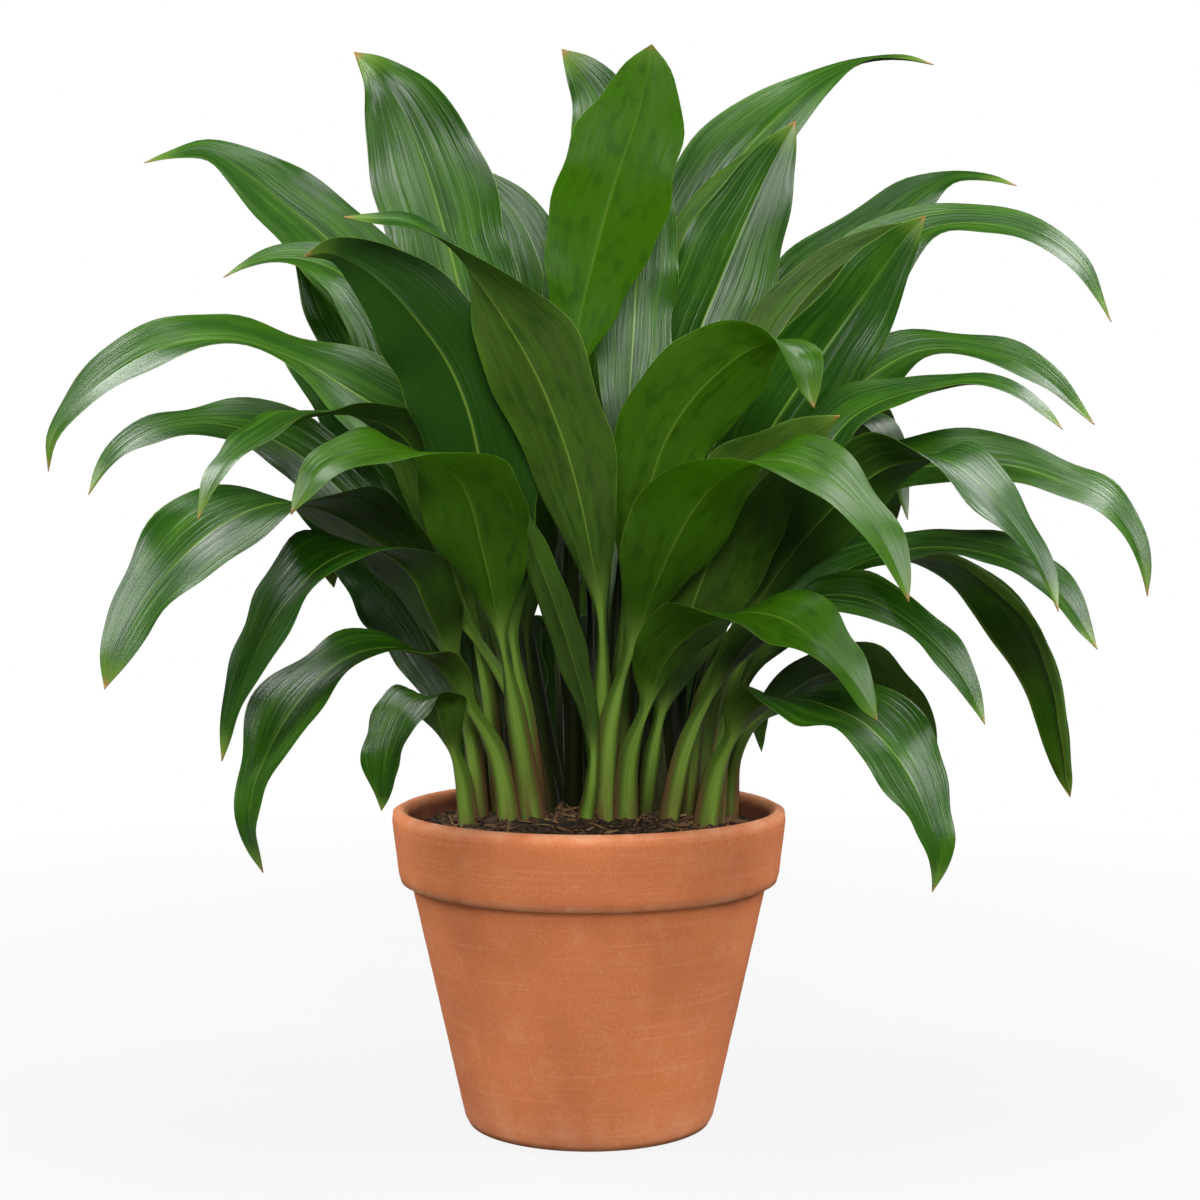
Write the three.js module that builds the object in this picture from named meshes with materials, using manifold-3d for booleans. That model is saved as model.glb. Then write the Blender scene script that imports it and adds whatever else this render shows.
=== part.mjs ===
// Potted cast iron plant (Aspidistra elatior): a thrown terracotta pot, its soil and a clump of
// long leaves. Millimetres, +Z up, origin at the centre of the pot's base, -Y is the front.
import * as THREE from "three";
import { mergeVertices } from "three/addons/utils/BufferGeometryUtils.js";
import Module from "manifold-3d";

const wasm = await Module();
wasm.setup();

// ---- Pot ------------------------------------------------------------------------------------
const POT_HEIGHT = 219;
const RIM_RADIUS = 136;
const COLLAR_HEIGHT = 51.5;
const COLLAR_FOOT_RADIUS = 131;
const COLLAR_ROUND = 4; // of the collar's lower edge
const NECK_RADIUS = 122.5; // the body just under the collar
const BASE_RADIUS = 86;
const WALL = 11;
const FLOOR = 14;
const FLOOR_CHAMFER = 6; // between the wall and the floor, inside
const LIP_ROUND = 5; // the rim's outer corner
const MOUTH_ROUND = 4; // the rim's inner corner
const MOUTH_TAPER = 3; // the mouth narrows this much inside the collar
const SHOULDER_ABOVE_NECK = 16; // where the inside starts to narrow to the neck
const SHOULDER_BELOW_NECK = 4; // and where it has done so
const FOOT_ROUND = 4;
const ROUND_STEPS = 2;
const POT_SIDES = 40;

// ---- Soil -----------------------------------------------------------------------------------
const SOIL_LEVEL = 204; // at the pot's wall
const SOIL_MOUND = 9; // how much higher it is in the middle
const SOIL_FLAT_RADIUS = 110; // the mound starts here
const SOIL_CROWN_RADIUS = 40; // and is full height from here inwards
const SOIL_LUMP = 1; // height of each of its three soft waves
const SOIL_RINGS = [100, 75, 50, 25]; // radii of the rows of points on its surface
const SOIL_SIDES = 30;
const SOIL_SLACK = 1.6; // to the pot's wall, which both facetings need
const GAP = 0.35; // between any two pieces that touch

// ---- Leaves ---------------------------------------------------------------------------------
const ROOT_LEVEL = 177; // where each petiole ends in the soil
const BURIED_LENGTH = 42; // of each petiole, up to just above the soil
const BLADE_ROWS = [0, 0.07, 0.16, 0.27, 0.38, 0.5, 0.61, 0.71, 0.8, 0.88, 0.95]; // shares of its length
const PETIOLE_HALF = 3; // half width of a petiole, to which its leaf's width adds a little
const PETIOLE_PER_WIDTH = 1 / 32;
const SHEATH_FLARE = 1.2; // how much wider a petiole is at its foot, where it is a sheath
const FRONT_FLARE = 1.65; // the same for those in front of the pot's centre, which have more room
// Heights of a section's corners from the midrib: over and under lie halfway to an edge, groove
// and keel on the midrib itself.
const PETIOLE_SECTION = { over: 1.4, groove: 0.4, under: 3, keel: 4.2 };
const BLADE_SECTION = { over: 0.5, groove: 0.6, under: 0.5, keel: 1.6 };
const LEAFY_SHARE = 0.25; // of the blade, over which the petiole's section turns into the blade's
const SLENDER = { skew: 1, fullness: 0.78 }; // most blades: tapered alike at both ends
const BLUNT = { skew: 1.2, fullness: 0.65 }; // the tallest ones: a short, blunt tip
const BLUNT_LEAVES = ["middle_3", "middle_6", "middle_9"];
const PETIOLE_FOLD = 0.4; // rise of the edges for each millimetre of half width
const BLADE_FOLD = 0.16;
const WAVE_HEIGHT = 4; // swing of the edges on a blade of WAVE_WIDTH
const WAVE_WIDTH = 80;
const WAVE_LEFT = 13; // radians of swing along the left edge
const WAVE_RIGHT = 16;
const WAVE_SHIFT = 2.4; // radians from one leaf to the next
const WAVE_SHIFT_RIGHT = 4.1;

// A leaf: [name, root x, root y, blade width, petiole's share of the length, stations]. A station
// on its midrib is [x, y, z, azimuth, rise], and the last two, in degrees, are the way the
// leaf's upper face looks there: azimuth 0 is the front (-Y), 90 the right (+X), rise 90 is up.
const LEAVES = [
  // low arching leaves at the left, from the front to the back
  ["left_1", -33, -22, 76, 0.41, [[-45, -30, 255, 175, 0], [-55, -60, 326, 175, 5],
    [-66, -100, 392, 172, 15], [-83, -150, 449, -20, 87], [-121, -180, 463, -10, 66],
    [-159, -192, 452, -25, 60], [-179, -195, 424, -40, 45]]],
  ["left_2", -53, -18, 76, 0.32, [[-60, -25, 248, 170, 5], [-86, -50, 303, 160, 38],
    [-104, -70, 327, 150, 75], [-128, -90, 335, -25, 74], [-153, -105, 331, -35, 62],
    [-179, -120, 311, -51, 46], [-202, -135, 274, -56, 28], [-214, -140, 235, -58, 12],
    [-206, -140, 196, -58, 3]]],
  ["left_3", -82, -6, 52, 0.39, [[-88, -20, 248, 160, 10], [-98, -35, 279, 155, 30],
    [-106, -50, 300, -60, 78], [-119, -60, 297, -45, 45], [-133, -70, 266, -45, 20],
    [-137, -70, 226, -45, 4]]],
  ["left_4", -74, 12, 82, 0.34, [[-82, -2, 271, 165, 5], [-94, -20, 325, 160, 10],
    [-109, -50, 363, 158, 28], [-125, -75, 394, 150, 68], [-149, -90, 400, -30, 62],
    [-175, -106, 386, -48, 45], [-201, -120, 353, -58, 30], [-220, -125, 311, -62, 16],
    [-233, -125, 266, -62, 6]]],
  ["left_5", -26, 1, 92, 0.36, [[-40, -6, 261, 160, 5], [-62, -4, 313, 155, 10],
    [-94, -26, 359, 150, 20], [-157, -60, 416, 160, 62], [-193, -90, 430, -30, 84],
    [-219, -104, 424, -22, 63], [-244, -118, 409, -30, 46], [-276, -128, 375, -33, 28],
    [-298, -133, 336, -34, 15], [-307, -133, 312, -34, 9]]],
  ["left_6", -60, 8, 66, 0.36, [[-74, 8, 321, 160, 5], [-99, -42, 416, 155, 15],
    [-125, -74, 476, 150, 45], [-155, -94, 488, -60, 84], [-182, -109, 486, -30, 74],
    [-202, -152, 471, -42, 50], [-226, -190, 450, -50, 32], [-236, -210, 421, -52, 18]]],
  ["left_7", -78, 28, 68, 0.34, [[-92, 35, 317, 0, 15], [-133, 35, 386, -5, 35],
    [-175, 30, 437, -10, 52], [-208, 25, 465, -15, 54], [-238, 15, 479, -15, 57],
    [-271, 4, 483, -15, 62], [-303, -4, 475, -35, 52], [-326, -12, 457, -48, 35],
    [-341, -15, 434, -50, 20]]],
  ["left_8", -45, 5, 80, 0.32, [[-54, 0, 299, 20, 5], [-80, 4, 379, 20, 10], [-121, 10, 478, 0, 30],
    [-164, 0, 505, -5, 42], [-206, -20, 529, -10, 66], [-253, -40, 539, -10, 72],
    [-297, -55, 525, -20, 49], [-333, -65, 497, -38, 40], [-350, -70, 476, -48, 28],
    [-355, -70, 450, -50, 15]]],
  ["left_9", -76, 45, 62, 0.29, [[-84, 55, 257, 0, 10], [-108, 60, 311, 0, 15], [-128, 65, 349, -5, 20],
    [-182, 70, 410, -5, 30], [-213, 65, 426, -5, 35]]],
  // taller leaves at the left
  ["left_10", -35, -8, 80, 0.36, [[-46, -30, 301, 170, 0], [-60, -60, 390, 170, 5],
    [-81, -90, 501, 168, 10], [-109, -105, 547, 168, 15], [-136, -110, 574, 168, 25],
    [-162, -110, 588, 170, 45], [-180, -108, 586, 200, 70]]],
  ["left_11", -22, 18, 60, 0.44, [[-42, -4, 325, 170, 5], [-48, -12, 416, 170, 5],
    [-71, -29, 511, 170, 10], [-91, -34, 559, 170, 15]]],
  ["left_12", -62, 20, 60, 0.44, [[-70, 25, 331, 20, 10], [-111, 35, 464, 10, 20],
    [-142, 40, 549, 0, 32], [-174, 35, 588, -10, 50], [-201, 30, 598, -10, 64], [-229, 24, 596, -15, 62],
    [-253, 15, 584, -30, 55]]],
  ["left_13", -45, 62, 78, 0.39, [[-80, 90, 341, 10, 5], [-125, 115, 428, 10, 10],
    [-162, 130, 488, 5, 15], [-200, 135, 521, 0, 20], [-231, 130, 543, 0, 25]]],
  ["left_14", -58, 48, 70, 0.39, [[-72, 75, 327, 20, 10], [-109, 110, 464, 20, 15],
    [-148, 135, 562, 10, 30], [-197, 150, 624, 0, 34], [-240, 150, 658, -5, 42],
    [-281, 145, 687, -10, 54], [-327, 125, 676, -20, 64]]],
  ["left_15", -30, 75, 80, 0.39, [[-66, 90, 327, 10, 5], [-111, 125, 450, 10, 10],
    [-154, 150, 525, 5, 10], [-192, 165, 586, 0, 15], [-227, 170, 643, 0, 20]]],
  // upright leaves in the middle
  ["middle_1", -8, -28, 22, 0.3, [[3, -40, 265, 180, 0], [-11, -50, 327, 178, 5],
    [-27, -65, 377, 176, 5], [-42, -75, 416, 175, 10], [-54, -80, 444, 174, 20]]],
  ["middle_2", 3, -9, 66, 0.37, [[8, -27, 281, 180, 0], [10, -50, 337, 178, 5], [-6, -90, 436, 172, 8],
    [-24, -115, 492, 168, 12], [-43, -130, 531, 160, 35], [-79, -145, 582, 90, 82],
    [-101, -150, 600, 0, 66], [-150, -150, 606, -10, 60]]],
  ["middle_3", -12, 28, 78, 0.6, [[-10, 10, 325, 180, 0], [-18, -4, 450, 180, 0],
    [-11, -15, 527, 180, 0], [1, -20, 584, 180, 2], [17, -30, 641, 178, 4], [35, -34, 696, 176, 10],
    [42, -35, 734, 175, 20]]],
  ["middle_4", 14, 12, 56, 0.53, [[16, 15, 291, 0, 0], [22, 20, 386, 0, 5], [26, 25, 472, 0, 8],
    [30, 30, 533, 0, 12], [34, 36, 590, 0, 14], [48, 42, 690, 0, 20]]],
  ["middle_5", 24, -6, 70, 0.45, [[22, -19, 321, 185, 0], [28, -45, 390, 188, 5],
    [52, -80, 474, 190, 12], [73, -95, 503, 186, 20], [97, -110, 524, 182, 40], [115, -120, 533, 90, 80],
    [131, -125, 527, 30, 45], [143, -125, 490, 30, 8]]],
  ["middle_6", -15, 72, 93, 0.42, [[-44, 90, 319, 0, 0], [-63, 120, 442, 0, 5], [-90, 145, 555, 0, 5],
    [-109, 160, 629, 0, 8], [-129, 170, 692, 0, 12], [-152, 170, 739, 0, 20],
    [-177, 160, 764, -20, 70]]],
  ["middle_7", 0, 92, 66, 0.44, [[-18, 110, 325, 0, 0], [-22, 155, 488, 0, 5], [-35, 190, 596, 0, 10],
    [-55, 195, 645, 0, 15], [-87, 195, 682, 0, 20]]],
  ["middle_8", 8, 72, 66, 0.44, [[0, 100, 341, 10, 0], [-4, 130, 464, 10, 0], [-8, 150, 539, 10, 5],
    [-14, 160, 598, 10, 5], [-16, 165, 647, 5, 5]]],
  ["middle_9", 18, 55, 70, 0.44, [[8, 70, 327, 0, 0], [16, 110, 486, 0, 5], [25, 130, 606, 0, 8],
    [17, 140, 686, 0, 10], [5, 140, 729, 0, 14], [-21, 135, 761, 0, 30]]],
  ["middle_10", 30, 82, 74, 0.39, [[24, 100, 325, 0, 0], [38, 130, 464, 0, 10], [59, 150, 576, 0, 22],
    [86, 165, 644, 3, 25], [120, 168, 694, 5, 38], [180, 165, 746, 8, 66], [220, 158, 758, 10, 78],
    [256, 150, 752, 20, 56]]],
  ["middle_11", 42, 48, 66, 0.39, [[34, 60, 329, 182, 0], [42, 80, 464, 182, 0], [57, 90, 559, 180, 0],
    [79, 100, 606, 180, 0], [109, 100, 653, 178, 5], [150, 100, 702, 178, 15]]],
  ["middle_12", 38, 26, 84, 0.39, [[40, 34, 325, 5, 0], [56, 52, 450, 10, 5], [75, 50, 539, 16, 8],
    [89, 55, 576, 18, 10], [126, 60, 661, 20, 15], [146, 60, 698, 20, 20]]],
  // leaves at the right, from the front to the back
  ["right_1", 10, -26, 80, 0.34, [[16, -40, 289, 190, 0], [32, -60, 345, 192, 8],
    [48, -90, 388, 195, 18], [68, -120, 428, 195, 45], [91, -145, 452, 90, 86], [117, -160, 457, 10, 68],
    [143, -172, 448, 25, 58], [169, -181, 424, 45, 44], [185, -187, 398, 50, 25],
    [195, -190, 371, 50, 12]]],
  ["right_2", 28, -27, 76, 0.36, [[26, -40, 250, 195, 0], [36, -55, 287, 198, 8],
    [46, -80, 321, 200, 28], [66, -110, 347, 195, 65], [88, -130, 359, 60, 86], [112, -140, 361, 10, 66],
    [133, -150, 351, 25, 60], [156, -158, 331, 46, 42], [171, -161, 311, 50, 25],
    [180, -160, 295, 50, 14]]],
  ["right_3", 78, -12, 82, 0.3, [[86, -25, 242, 195, 5], [96, -40, 271, 195, 20],
    [108, -60, 293, 190, 56], [130, -80, 301, 25, 82], [152, -100, 299, 12, 66],
    [176, -115, 289, 28, 58], [198, -130, 266, 44, 42], [213, -136, 236, 50, 22],
    [221, -140, 208, 52, 10], [218, -140, 184, 52, 4]]],
  ["right_4", 50, -14, 56, 0.36, [[66, -20, 263, 200, 5], [86, -30, 309, 200, 20],
    [108, -40, 341, 195, 54], [131, -50, 361, 30, 82], [153, -60, 369, 12, 62], [181, -70, 367, 14, 64],
    [207, -76, 353, 30, 56], [239, -82, 321, 46, 34], [256, -85, 287, 50, 8]]],
  ["right_5", 35, 3, 80, 0.32, [[46, -20, 273, 188, 0], [64, -40, 343, 190, 5], [78, -60, 386, 190, 8],
    [97, -80, 426, 188, 12], [137, -105, 470, 182, 40], [161, -105, 486, 180, 55]]],
  ["right_6", 66, 10, 76, 0.36, [[80, 0, 299, 195, 5], [123, -30, 377, 195, 15],
    [161, -60, 426, 195, 35], [193, -80, 452, 190, 60], [218, -95, 460, 30, 80],
    [241, -106, 450, 26, 64], [264, -116, 426, 48, 40], [288, -120, 390, 54, 20],
    [299, -125, 361, 54, 8]]],
  ["right_7", 86, 4, 68, 0.34, [[96, 0, 281, 10, 10], [128, -10, 337, 10, 32], [159, -20, 373, 10, 55],
    [183, -30, 388, 12, 68], [213, -40, 398, 12, 74], [245, -50, 399, 12, 74], [278, -58, 391, 16, 64],
    [308, -66, 373, 36, 52], [335, -70, 333, 50, 16]]],
  ["right_8", 100, 41, 56, 0.36, [[106, 46, 257, 150, 10], [138, 50, 290, 150, 35],
    [168, 55, 307, 145, 50], [196, 50, 304, 140, 30], [220, 45, 278, 138, 10], [242, 40, 220, 138, 0]]],
  ["right_9", 88, 34, 72, 0.34, [[96, 30, 289, 10, 5], [143, 15, 380, 10, 28], [181, 4, 424, 10, 52],
    [212, -8, 448, 12, 58], [244, -20, 454, 12, 54], [278, -31, 455, 15, 58], [318, -45, 443, 22, 60],
    [348, -56, 427, 38, 52], [365, -61, 401, 48, 32], [372, -65, 367, 50, 12]]],
  ["right_10", 80, 52, 70, 0.5, [[92, 62, 285, 150, 10], [139, 75, 369, 150, 40],
    [189, 80, 386, 150, 68], [231, 80, 390, 150, 52], [266, 70, 383, 142, 30], [300, 60, 357, 138, 12],
    [326, 55, 312, 136, 4], [343, 50, 218, 136, 0]]],
  ["right_11", 78, 20, 60, 0.36, [[88, 20, 297, 15, 10], [127, 15, 388, 16, 30], [149, 8, 440, 16, 50],
    [171, 0, 478, 16, 58], [194, -8, 496, 14, 68], [228, -20, 505, 12, 72], [261, -31, 509, 12, 72],
    [291, -40, 499, 18, 64], [315, -45, 478, 40, 42]]],
  ["right_12", 72, 38, 66, 0.36, [[82, 45, 303, 15, 5], [121, 45, 398, 16, 20], [149, 45, 458, 18, 38],
    [172, 45, 495, 18, 52], [200, 40, 518, 16, 56], [234, 35, 535, 14, 60], [269, 25, 534, 12, 70],
    [307, 10, 520, 20, 58], [347, -4, 482, 38, 36]]],
  // taller leaves at the right
  ["right_13", 52, 4, 76, 0.39, [[48, 0, 327, 20, 5], [82, 0, 408, 30, 8], [135, 8, 494, 38, 12],
    [184, 15, 564, 38, 16], [221, 20, 614, 38, 24], [233, 20, 627, 38, 28]]],
  ["right_14", 58, 30, 48, 0.39, [[56, 26, 331, 185, 0], [85, 36, 442, 182, 5], [117, 38, 517, 180, 8],
    [150, 40, 570, 178, 15], [184, 35, 600, 176, 28], [233, 25, 625, 175, 40]]],
  ["right_15", 64, 55, 66, 0.39, [[68, 65, 329, 10, 5], [109, 80, 442, 12, 12], [154, 90, 529, 15, 22],
    [198, 90, 592, 16, 42], [235, 90, 621, 16, 56], [266, 85, 629, 16, 66], [299, 75, 624, 18, 58],
    [326, 65, 613, 26, 62], [346, 58, 596, 42, 50], [368, 45, 555, 50, 16]]],
  ["right_16", 52, 68, 66, 0.39, [[54, 85, 327, 0, 5], [91, 110, 458, 5, 12], [131, 135, 534, 8, 20],
    [172, 150, 589, 10, 32], [217, 160, 626, 12, 38], [250, 160, 657, 12, 50], [280, 150, 670, 16, 62],
    [316, 135, 661, 36, 52]]],
  ["right_17", 66, 70, 42, 0.42, [[84, 75, 321, 15, 5], [125, 80, 414, 18, 25], [163, 73, 474, 22, 50],
    [188, 75, 490, 28, 68], [208, 65, 480, 38, 52], [225, 50, 416, 45, 12]]],
  ["right_18", 64, 86, 24, 0.44, [[80, 90, 261, 20, 10], [102, 100, 283, 25, 40], [118, 95, 285, 35, 50],
    [126, 90, 245, 40, 8]]],
  // leaves that hang over the back
  ["back_1", -16, 90, 80, 0.36, [[-20, 110, 311, 180, 5], [-26, 150, 430, 180, 15],
    [-34, 205, 501, 0, 80], [-42, 270, 499, 178, 50], [-48, 320, 430, 178, 20],
    [-50, 335, 351, 178, 5]]],
  ["back_2", 34, 98, 78, 0.36, [[42, 120, 321, -10, 5], [64, 155, 440, -10, 15], [91, 215, 514, 160, 80],
    [119, 275, 499, 160, 45], [139, 315, 430, 158, 20], [145, 325, 361, 158, 8]]],
  ["back_3", -46, 80, 80, 0.36, [[-58, 100, 301, 30, 5], [-89, 130, 400, 30, 20],
    [-139, 185, 480, -140, 80], [-176, 235, 480, -145, 50], [-195, 268, 420, -145, 22],
    [-196, 278, 374, -145, 8]]],
  ["back_4", 78, 72, 76, 0.36, [[88, 90, 301, -30, 5], [119, 125, 410, -30, 20],
    [165, 175, 490, 130, 80], [203, 220, 499, 135, 50], [228, 250, 450, 140, 24],
    [235, 258, 405, 140, 10]]],
  ["back_5", 14, 102, 62, 0.34, [[12, 125, 290, 0, 10], [16, 168, 366, 0, 30], [18, 226, 414, 180, 75],
    [10, 284, 394, 178, 40], [2, 320, 336, 178, 16], [-2, 330, 278, 178, 6]]],
  ["back_6", -66, 64, 74, 0.36, [[-80, 80, 281, 40, 10], [-114, 110, 361, 40, 30],
    [-156, 150, 410, -120, 75], [-184, 183, 410, -130, 45], [-197, 205, 382, -130, 25],
    [-198, 212, 360, -130, 12]]],
  ["back_7", 93, 54, 72, 0.36, [[108, 70, 281, -50, 10], [139, 92, 371, -50, 30],
    [181, 137, 438, 110, 75], [210, 180, 450, 120, 50], [226, 205, 425, 125, 25],
    [230, 212, 400, 125, 12]]],
  ["back_8", -4, 52, 70, 0.44, [[-14, 74, 315, 0, 0], [-25, 102, 420, 0, 0], [-35, 120, 500, 0, 5],
    [-42, 134, 560, 0, 15]]],
  ["back_9", -62, 88, 84, 0.42, [[-70, 112, 262, 0, 15], [-59, 148, 308, 0, 40],
    [-69, 196, 330, 180, 80], [-75, 244, 308, 180, 45], [-79, 272, 258, 180, 20],
    [-81, 284, 160, 180, 4]]],
  ["back_10", -10, 107, 80, 0.42, [[-14, 130, 262, 0, 15], [-20, 162, 312, 0, 40],
    [-24, 208, 334, 180, 80], [-26, 254, 312, 180, 45], [-27, 282, 262, 180, 20],
    [-27, 294, 160, 180, 4]]],
  ["back_11", 49, 91, 88, 0.42, [[50, 118, 262, 0, 15], [56, 154, 312, 0, 40], [62, 200, 334, 180, 80],
    [66, 246, 312, 180, 45], [69, 274, 262, 180, 20], [70, 286, 160, 180, 4]]],
];

// ---- Leaf planning --------------------------------------------------------------------------
/** The direction that an azimuth from the front and a rise, in degrees, look in. */
function facing(azimuth, rise) {
  const a = THREE.MathUtils.degToRad(azimuth);
  const r = THREE.MathUtils.degToRad(rise);
  return new THREE.Vector3(Math.sin(a) * Math.cos(r), -Math.cos(a) * Math.cos(r), Math.sin(r));
}

/** Share of the full width at a share of the blade's length. */
function bladeOutline(share, { skew, fullness }) {
  return Math.sin(Math.PI * Math.min(share, 1) ** skew) ** fullness;
}

/** A leaf's midrib with the place, upper face, width and edges of each row across it. */
function planLeaf([name, x, y, width, petioleShare, stations], index) {
  const [, , , rootAzimuth, rootRise] = stations[0];
  const all = [[x, y, ROOT_LEVEL, rootAzimuth, rootRise], ...stations];
  const places = all.map(([px, py, pz]) => new THREE.Vector3(px, py, pz));
  const looks = all.map(([, , , azimuth, rise]) => facing(azimuth, rise));
  const midrib = new THREE.CatmullRomCurve3(places, false, "centripetal");
  const faces = new THREE.CatmullRomCurve3(looks, false, "catmullrom", 0);
  const buried = BURIED_LENGTH / midrib.getLength();
  const shape = BLUNT_LEAVES.includes(name) ? BLUNT : SLENDER;
  const bladeShares = BLADE_ROWS.map((v) => petioleShare + (1 - petioleShare) * v);
  const shares = [0, buried, (buried + petioleShare) / 2, ...bladeShares];
  const rows = shares.map((share) => {
    const t = midrib.getUtoTmapping(share);
    const v = Math.max(0, (share - petioleShare) / (1 - petioleShare));
    const outline = bladeOutline(v, shape);
    const sheath = 1 - THREE.MathUtils.smoothstep(share, buried, petioleShare);
    const flare = THREE.MathUtils.lerp(1, y < 0 ? FRONT_FLARE : SHEATH_FLARE, sheath);
    const petioleHalf = (PETIOLE_HALF + width * PETIOLE_PER_WIDTH) * (1 - v) * flare;
    const half = Math.hypot(petioleHalf, (width / 2) * outline);
    const leafy = THREE.MathUtils.smoothstep(v, 0, LEAFY_SHARE);
    const fold = THREE.MathUtils.lerp(PETIOLE_FOLD, BLADE_FOLD, leafy);
    const swing = WAVE_HEIGHT * outline * leafy * (width / WAVE_WIDTH);
    return {
      centre: midrib.getPoint(t),
      face: faces.getPoint(t),
      half,
      leafy,
      leftEdge: fold * half + swing * Math.sin(WAVE_LEFT * v + WAVE_SHIFT * index),
      rightEdge: fold * half + swing * Math.sin(WAVE_RIGHT * v + WAVE_SHIFT_RIGHT * index),
    };
  });
  return { name: `leaf_${name}`, rows, tip: midrib.getPoint(1), push: rows.map(() => 0) };
}

/** Each row's centre, across and upper directions, and the tip, pushed along Y where they now lie. */
function frameRows(leaf) {
  const centres = leaf.rows.map((row, i) => row.centre.clone().setY(row.centre.y + leaf.push[i]));
  const tip = leaf.tip.clone().setY(leaf.tip.y + leaf.push.at(-1));
  const along = [...centres, tip];
  const frames = leaf.rows.map((row, i) => {
    const tangent = along[i + 1].clone().sub(along[Math.max(i - 1, 0)]).normalize();
    const upper = row.face.clone().addScaledVector(tangent, -row.face.dot(tangent)).normalize();
    const across = new THREE.Vector3().crossVectors(tangent, upper);
    return { centre: centres[i], across, upper, row };
  });
  return { frames, tip };
}

/**
 * The eight corners of a row: left edge, over the blade to the right edge, and back under it.
 * To grow all sides alike, the edges' sharp corners move out twice as far.
 */
function rowCorners({ centre, across, upper, row }, grow = 0) {
  const { half, leafy, leftEdge, rightEdge } = row;
  const height = (corner) => {
    return THREE.MathUtils.lerp(PETIOLE_SECTION[corner], BLADE_SECTION[corner], leafy) + grow;
  };
  const middle = half / 2;
  const leftMiddle = leftEdge * 0.45;
  const rightMiddle = rightEdge * 0.45;
  const section = [
    [-half - 2 * grow, leftEdge + grow],
    [-middle, leftMiddle + height("over")],
    [0, height("groove")],
    [middle, rightMiddle + height("over")],
    [half + 2 * grow, rightEdge + grow],
    [middle + grow / 2, rightMiddle - height("under")],
    [0, -height("keel")],
    [-middle - grow / 2, leftMiddle - height("under")],
  ];
  return section.map(([a, u]) => centre.clone().addScaledVector(across, a).addScaledVector(upper, u));
}

// ---- Bending clear --------------------------------------------------------------------------
// The clump is seen from the front in square cells. Where two leaves come closer in depth than
// CLEARANCE in a cell, both give way along Y there, and their neighbouring rows follow.
const CELL = 7;
const SAMPLE_STEP = CELL * 0.8;
const CLEARANCE = 3;
const NEAR = 90; // leaves further apart in depth than this don't count as meeting
const PASSES = 160;
const GIVE = 0.3; // share of what is lacking that a leaf gives in one pass
const FIXED_ROWS = 2; // the buried rows stay where they are
const STALK_ROWS = 4; // the first rows, where a leaf is thick
const STALK_MARGIN = 4; // half thickness that a stalk is given
const BLADE_MARGIN = 1.5;
const DECIDING_DEPTH = 30; // a cell counts no more than this when two leaves are put in order
const CELL_COLUMN = 1000; // more than the cells in a column

/** Depth samples of one leaf: each has its cell, leaf, part (stalk 0, blade 1), row and depth. */
function sampleDepths(leaf, index) {
  const { frames, tip } = frameRows(leaf);
  const lines = frames.map((frame) => {
    const c = rowCorners(frame);
    const between = (i, j) => c[i].clone().add(c[j]).multiplyScalar(0.5);
    return [c[0], between(1, 7), between(2, 6), between(3, 5), c[4]];
  });
  lines.push(lines[0].map(() => tip));
  const samples = [];
  const p = new THREE.Vector3();
  const q = new THREE.Vector3();
  for (let i = 1; i < frames.length; i++) {
    const [line, next] = [lines[i], lines[i + 1]];
    const steps = Math.ceil(line[2].distanceTo(next[2]) / SAMPLE_STEP);
    const half = Math.max(frames[i].row.half, frames[i + 1]?.row.half ?? 0);
    const cuts = Math.max(1, Math.ceil(half / 2 / SAMPLE_STEP));
    const part = i < STALK_ROWS ? 0 : 1;
    const margin = i < STALK_ROWS ? STALK_MARGIN : BLADE_MARGIN;
    for (let s = 0; s < steps; s++) {
      for (let span = 0; span < line.length - 1; span++) {
        for (let k = 0; k <= cuts; k++) {
          p.lerpVectors(line[span], line[span + 1], k / cuts);
          q.lerpVectors(next[span], next[span + 1], k / cuts);
          p.lerp(q, s / steps);
          const cell = Math.floor(p.x / CELL) * CELL_COLUMN + Math.floor(p.z / CELL);
          samples.push({ cell, leaf: index, part, row: i, low: p.y - margin, high: p.y + margin });
        }
      }
    }
  }
  return samples;
}

/** The samples of all leaves as lists, one for each cell, of depth ranges of a leaf's row. */
function rangesByCell(leaves) {
  const cells = new Map();
  for (const sample of leaves.flatMap(sampleDepths)) {
    if (!cells.has(sample.cell)) cells.set(sample.cell, new Map());
    const ranges = cells.get(sample.cell);
    const key = `${sample.leaf} ${sample.row}`;
    const range = ranges.get(key);
    if (range) {
      range.low = Math.min(range.low, sample.low);
      range.high = Math.max(range.high, sample.high);
    } else {
      ranges.set(key, sample);
    }
  }
  return [...cells.values()].map((ranges) => [...ranges.values()]);
}

/** Calls visit(a, b, how far a lies behind b) for each two ranges of different leaves in a cell. */
function eachMeeting(leaves, visit) {
  for (const ranges of rangesByCell(leaves)) {
    ranges.forEach((a, i) => {
      for (const b of ranges.slice(i + 1)) {
        const behind = (a.low + a.high - b.low - b.high) / 2;
        if (a.leaf !== b.leaf && Math.abs(behind) <= NEAR) visit(a, b, behind);
      }
    });
  }
}

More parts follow.
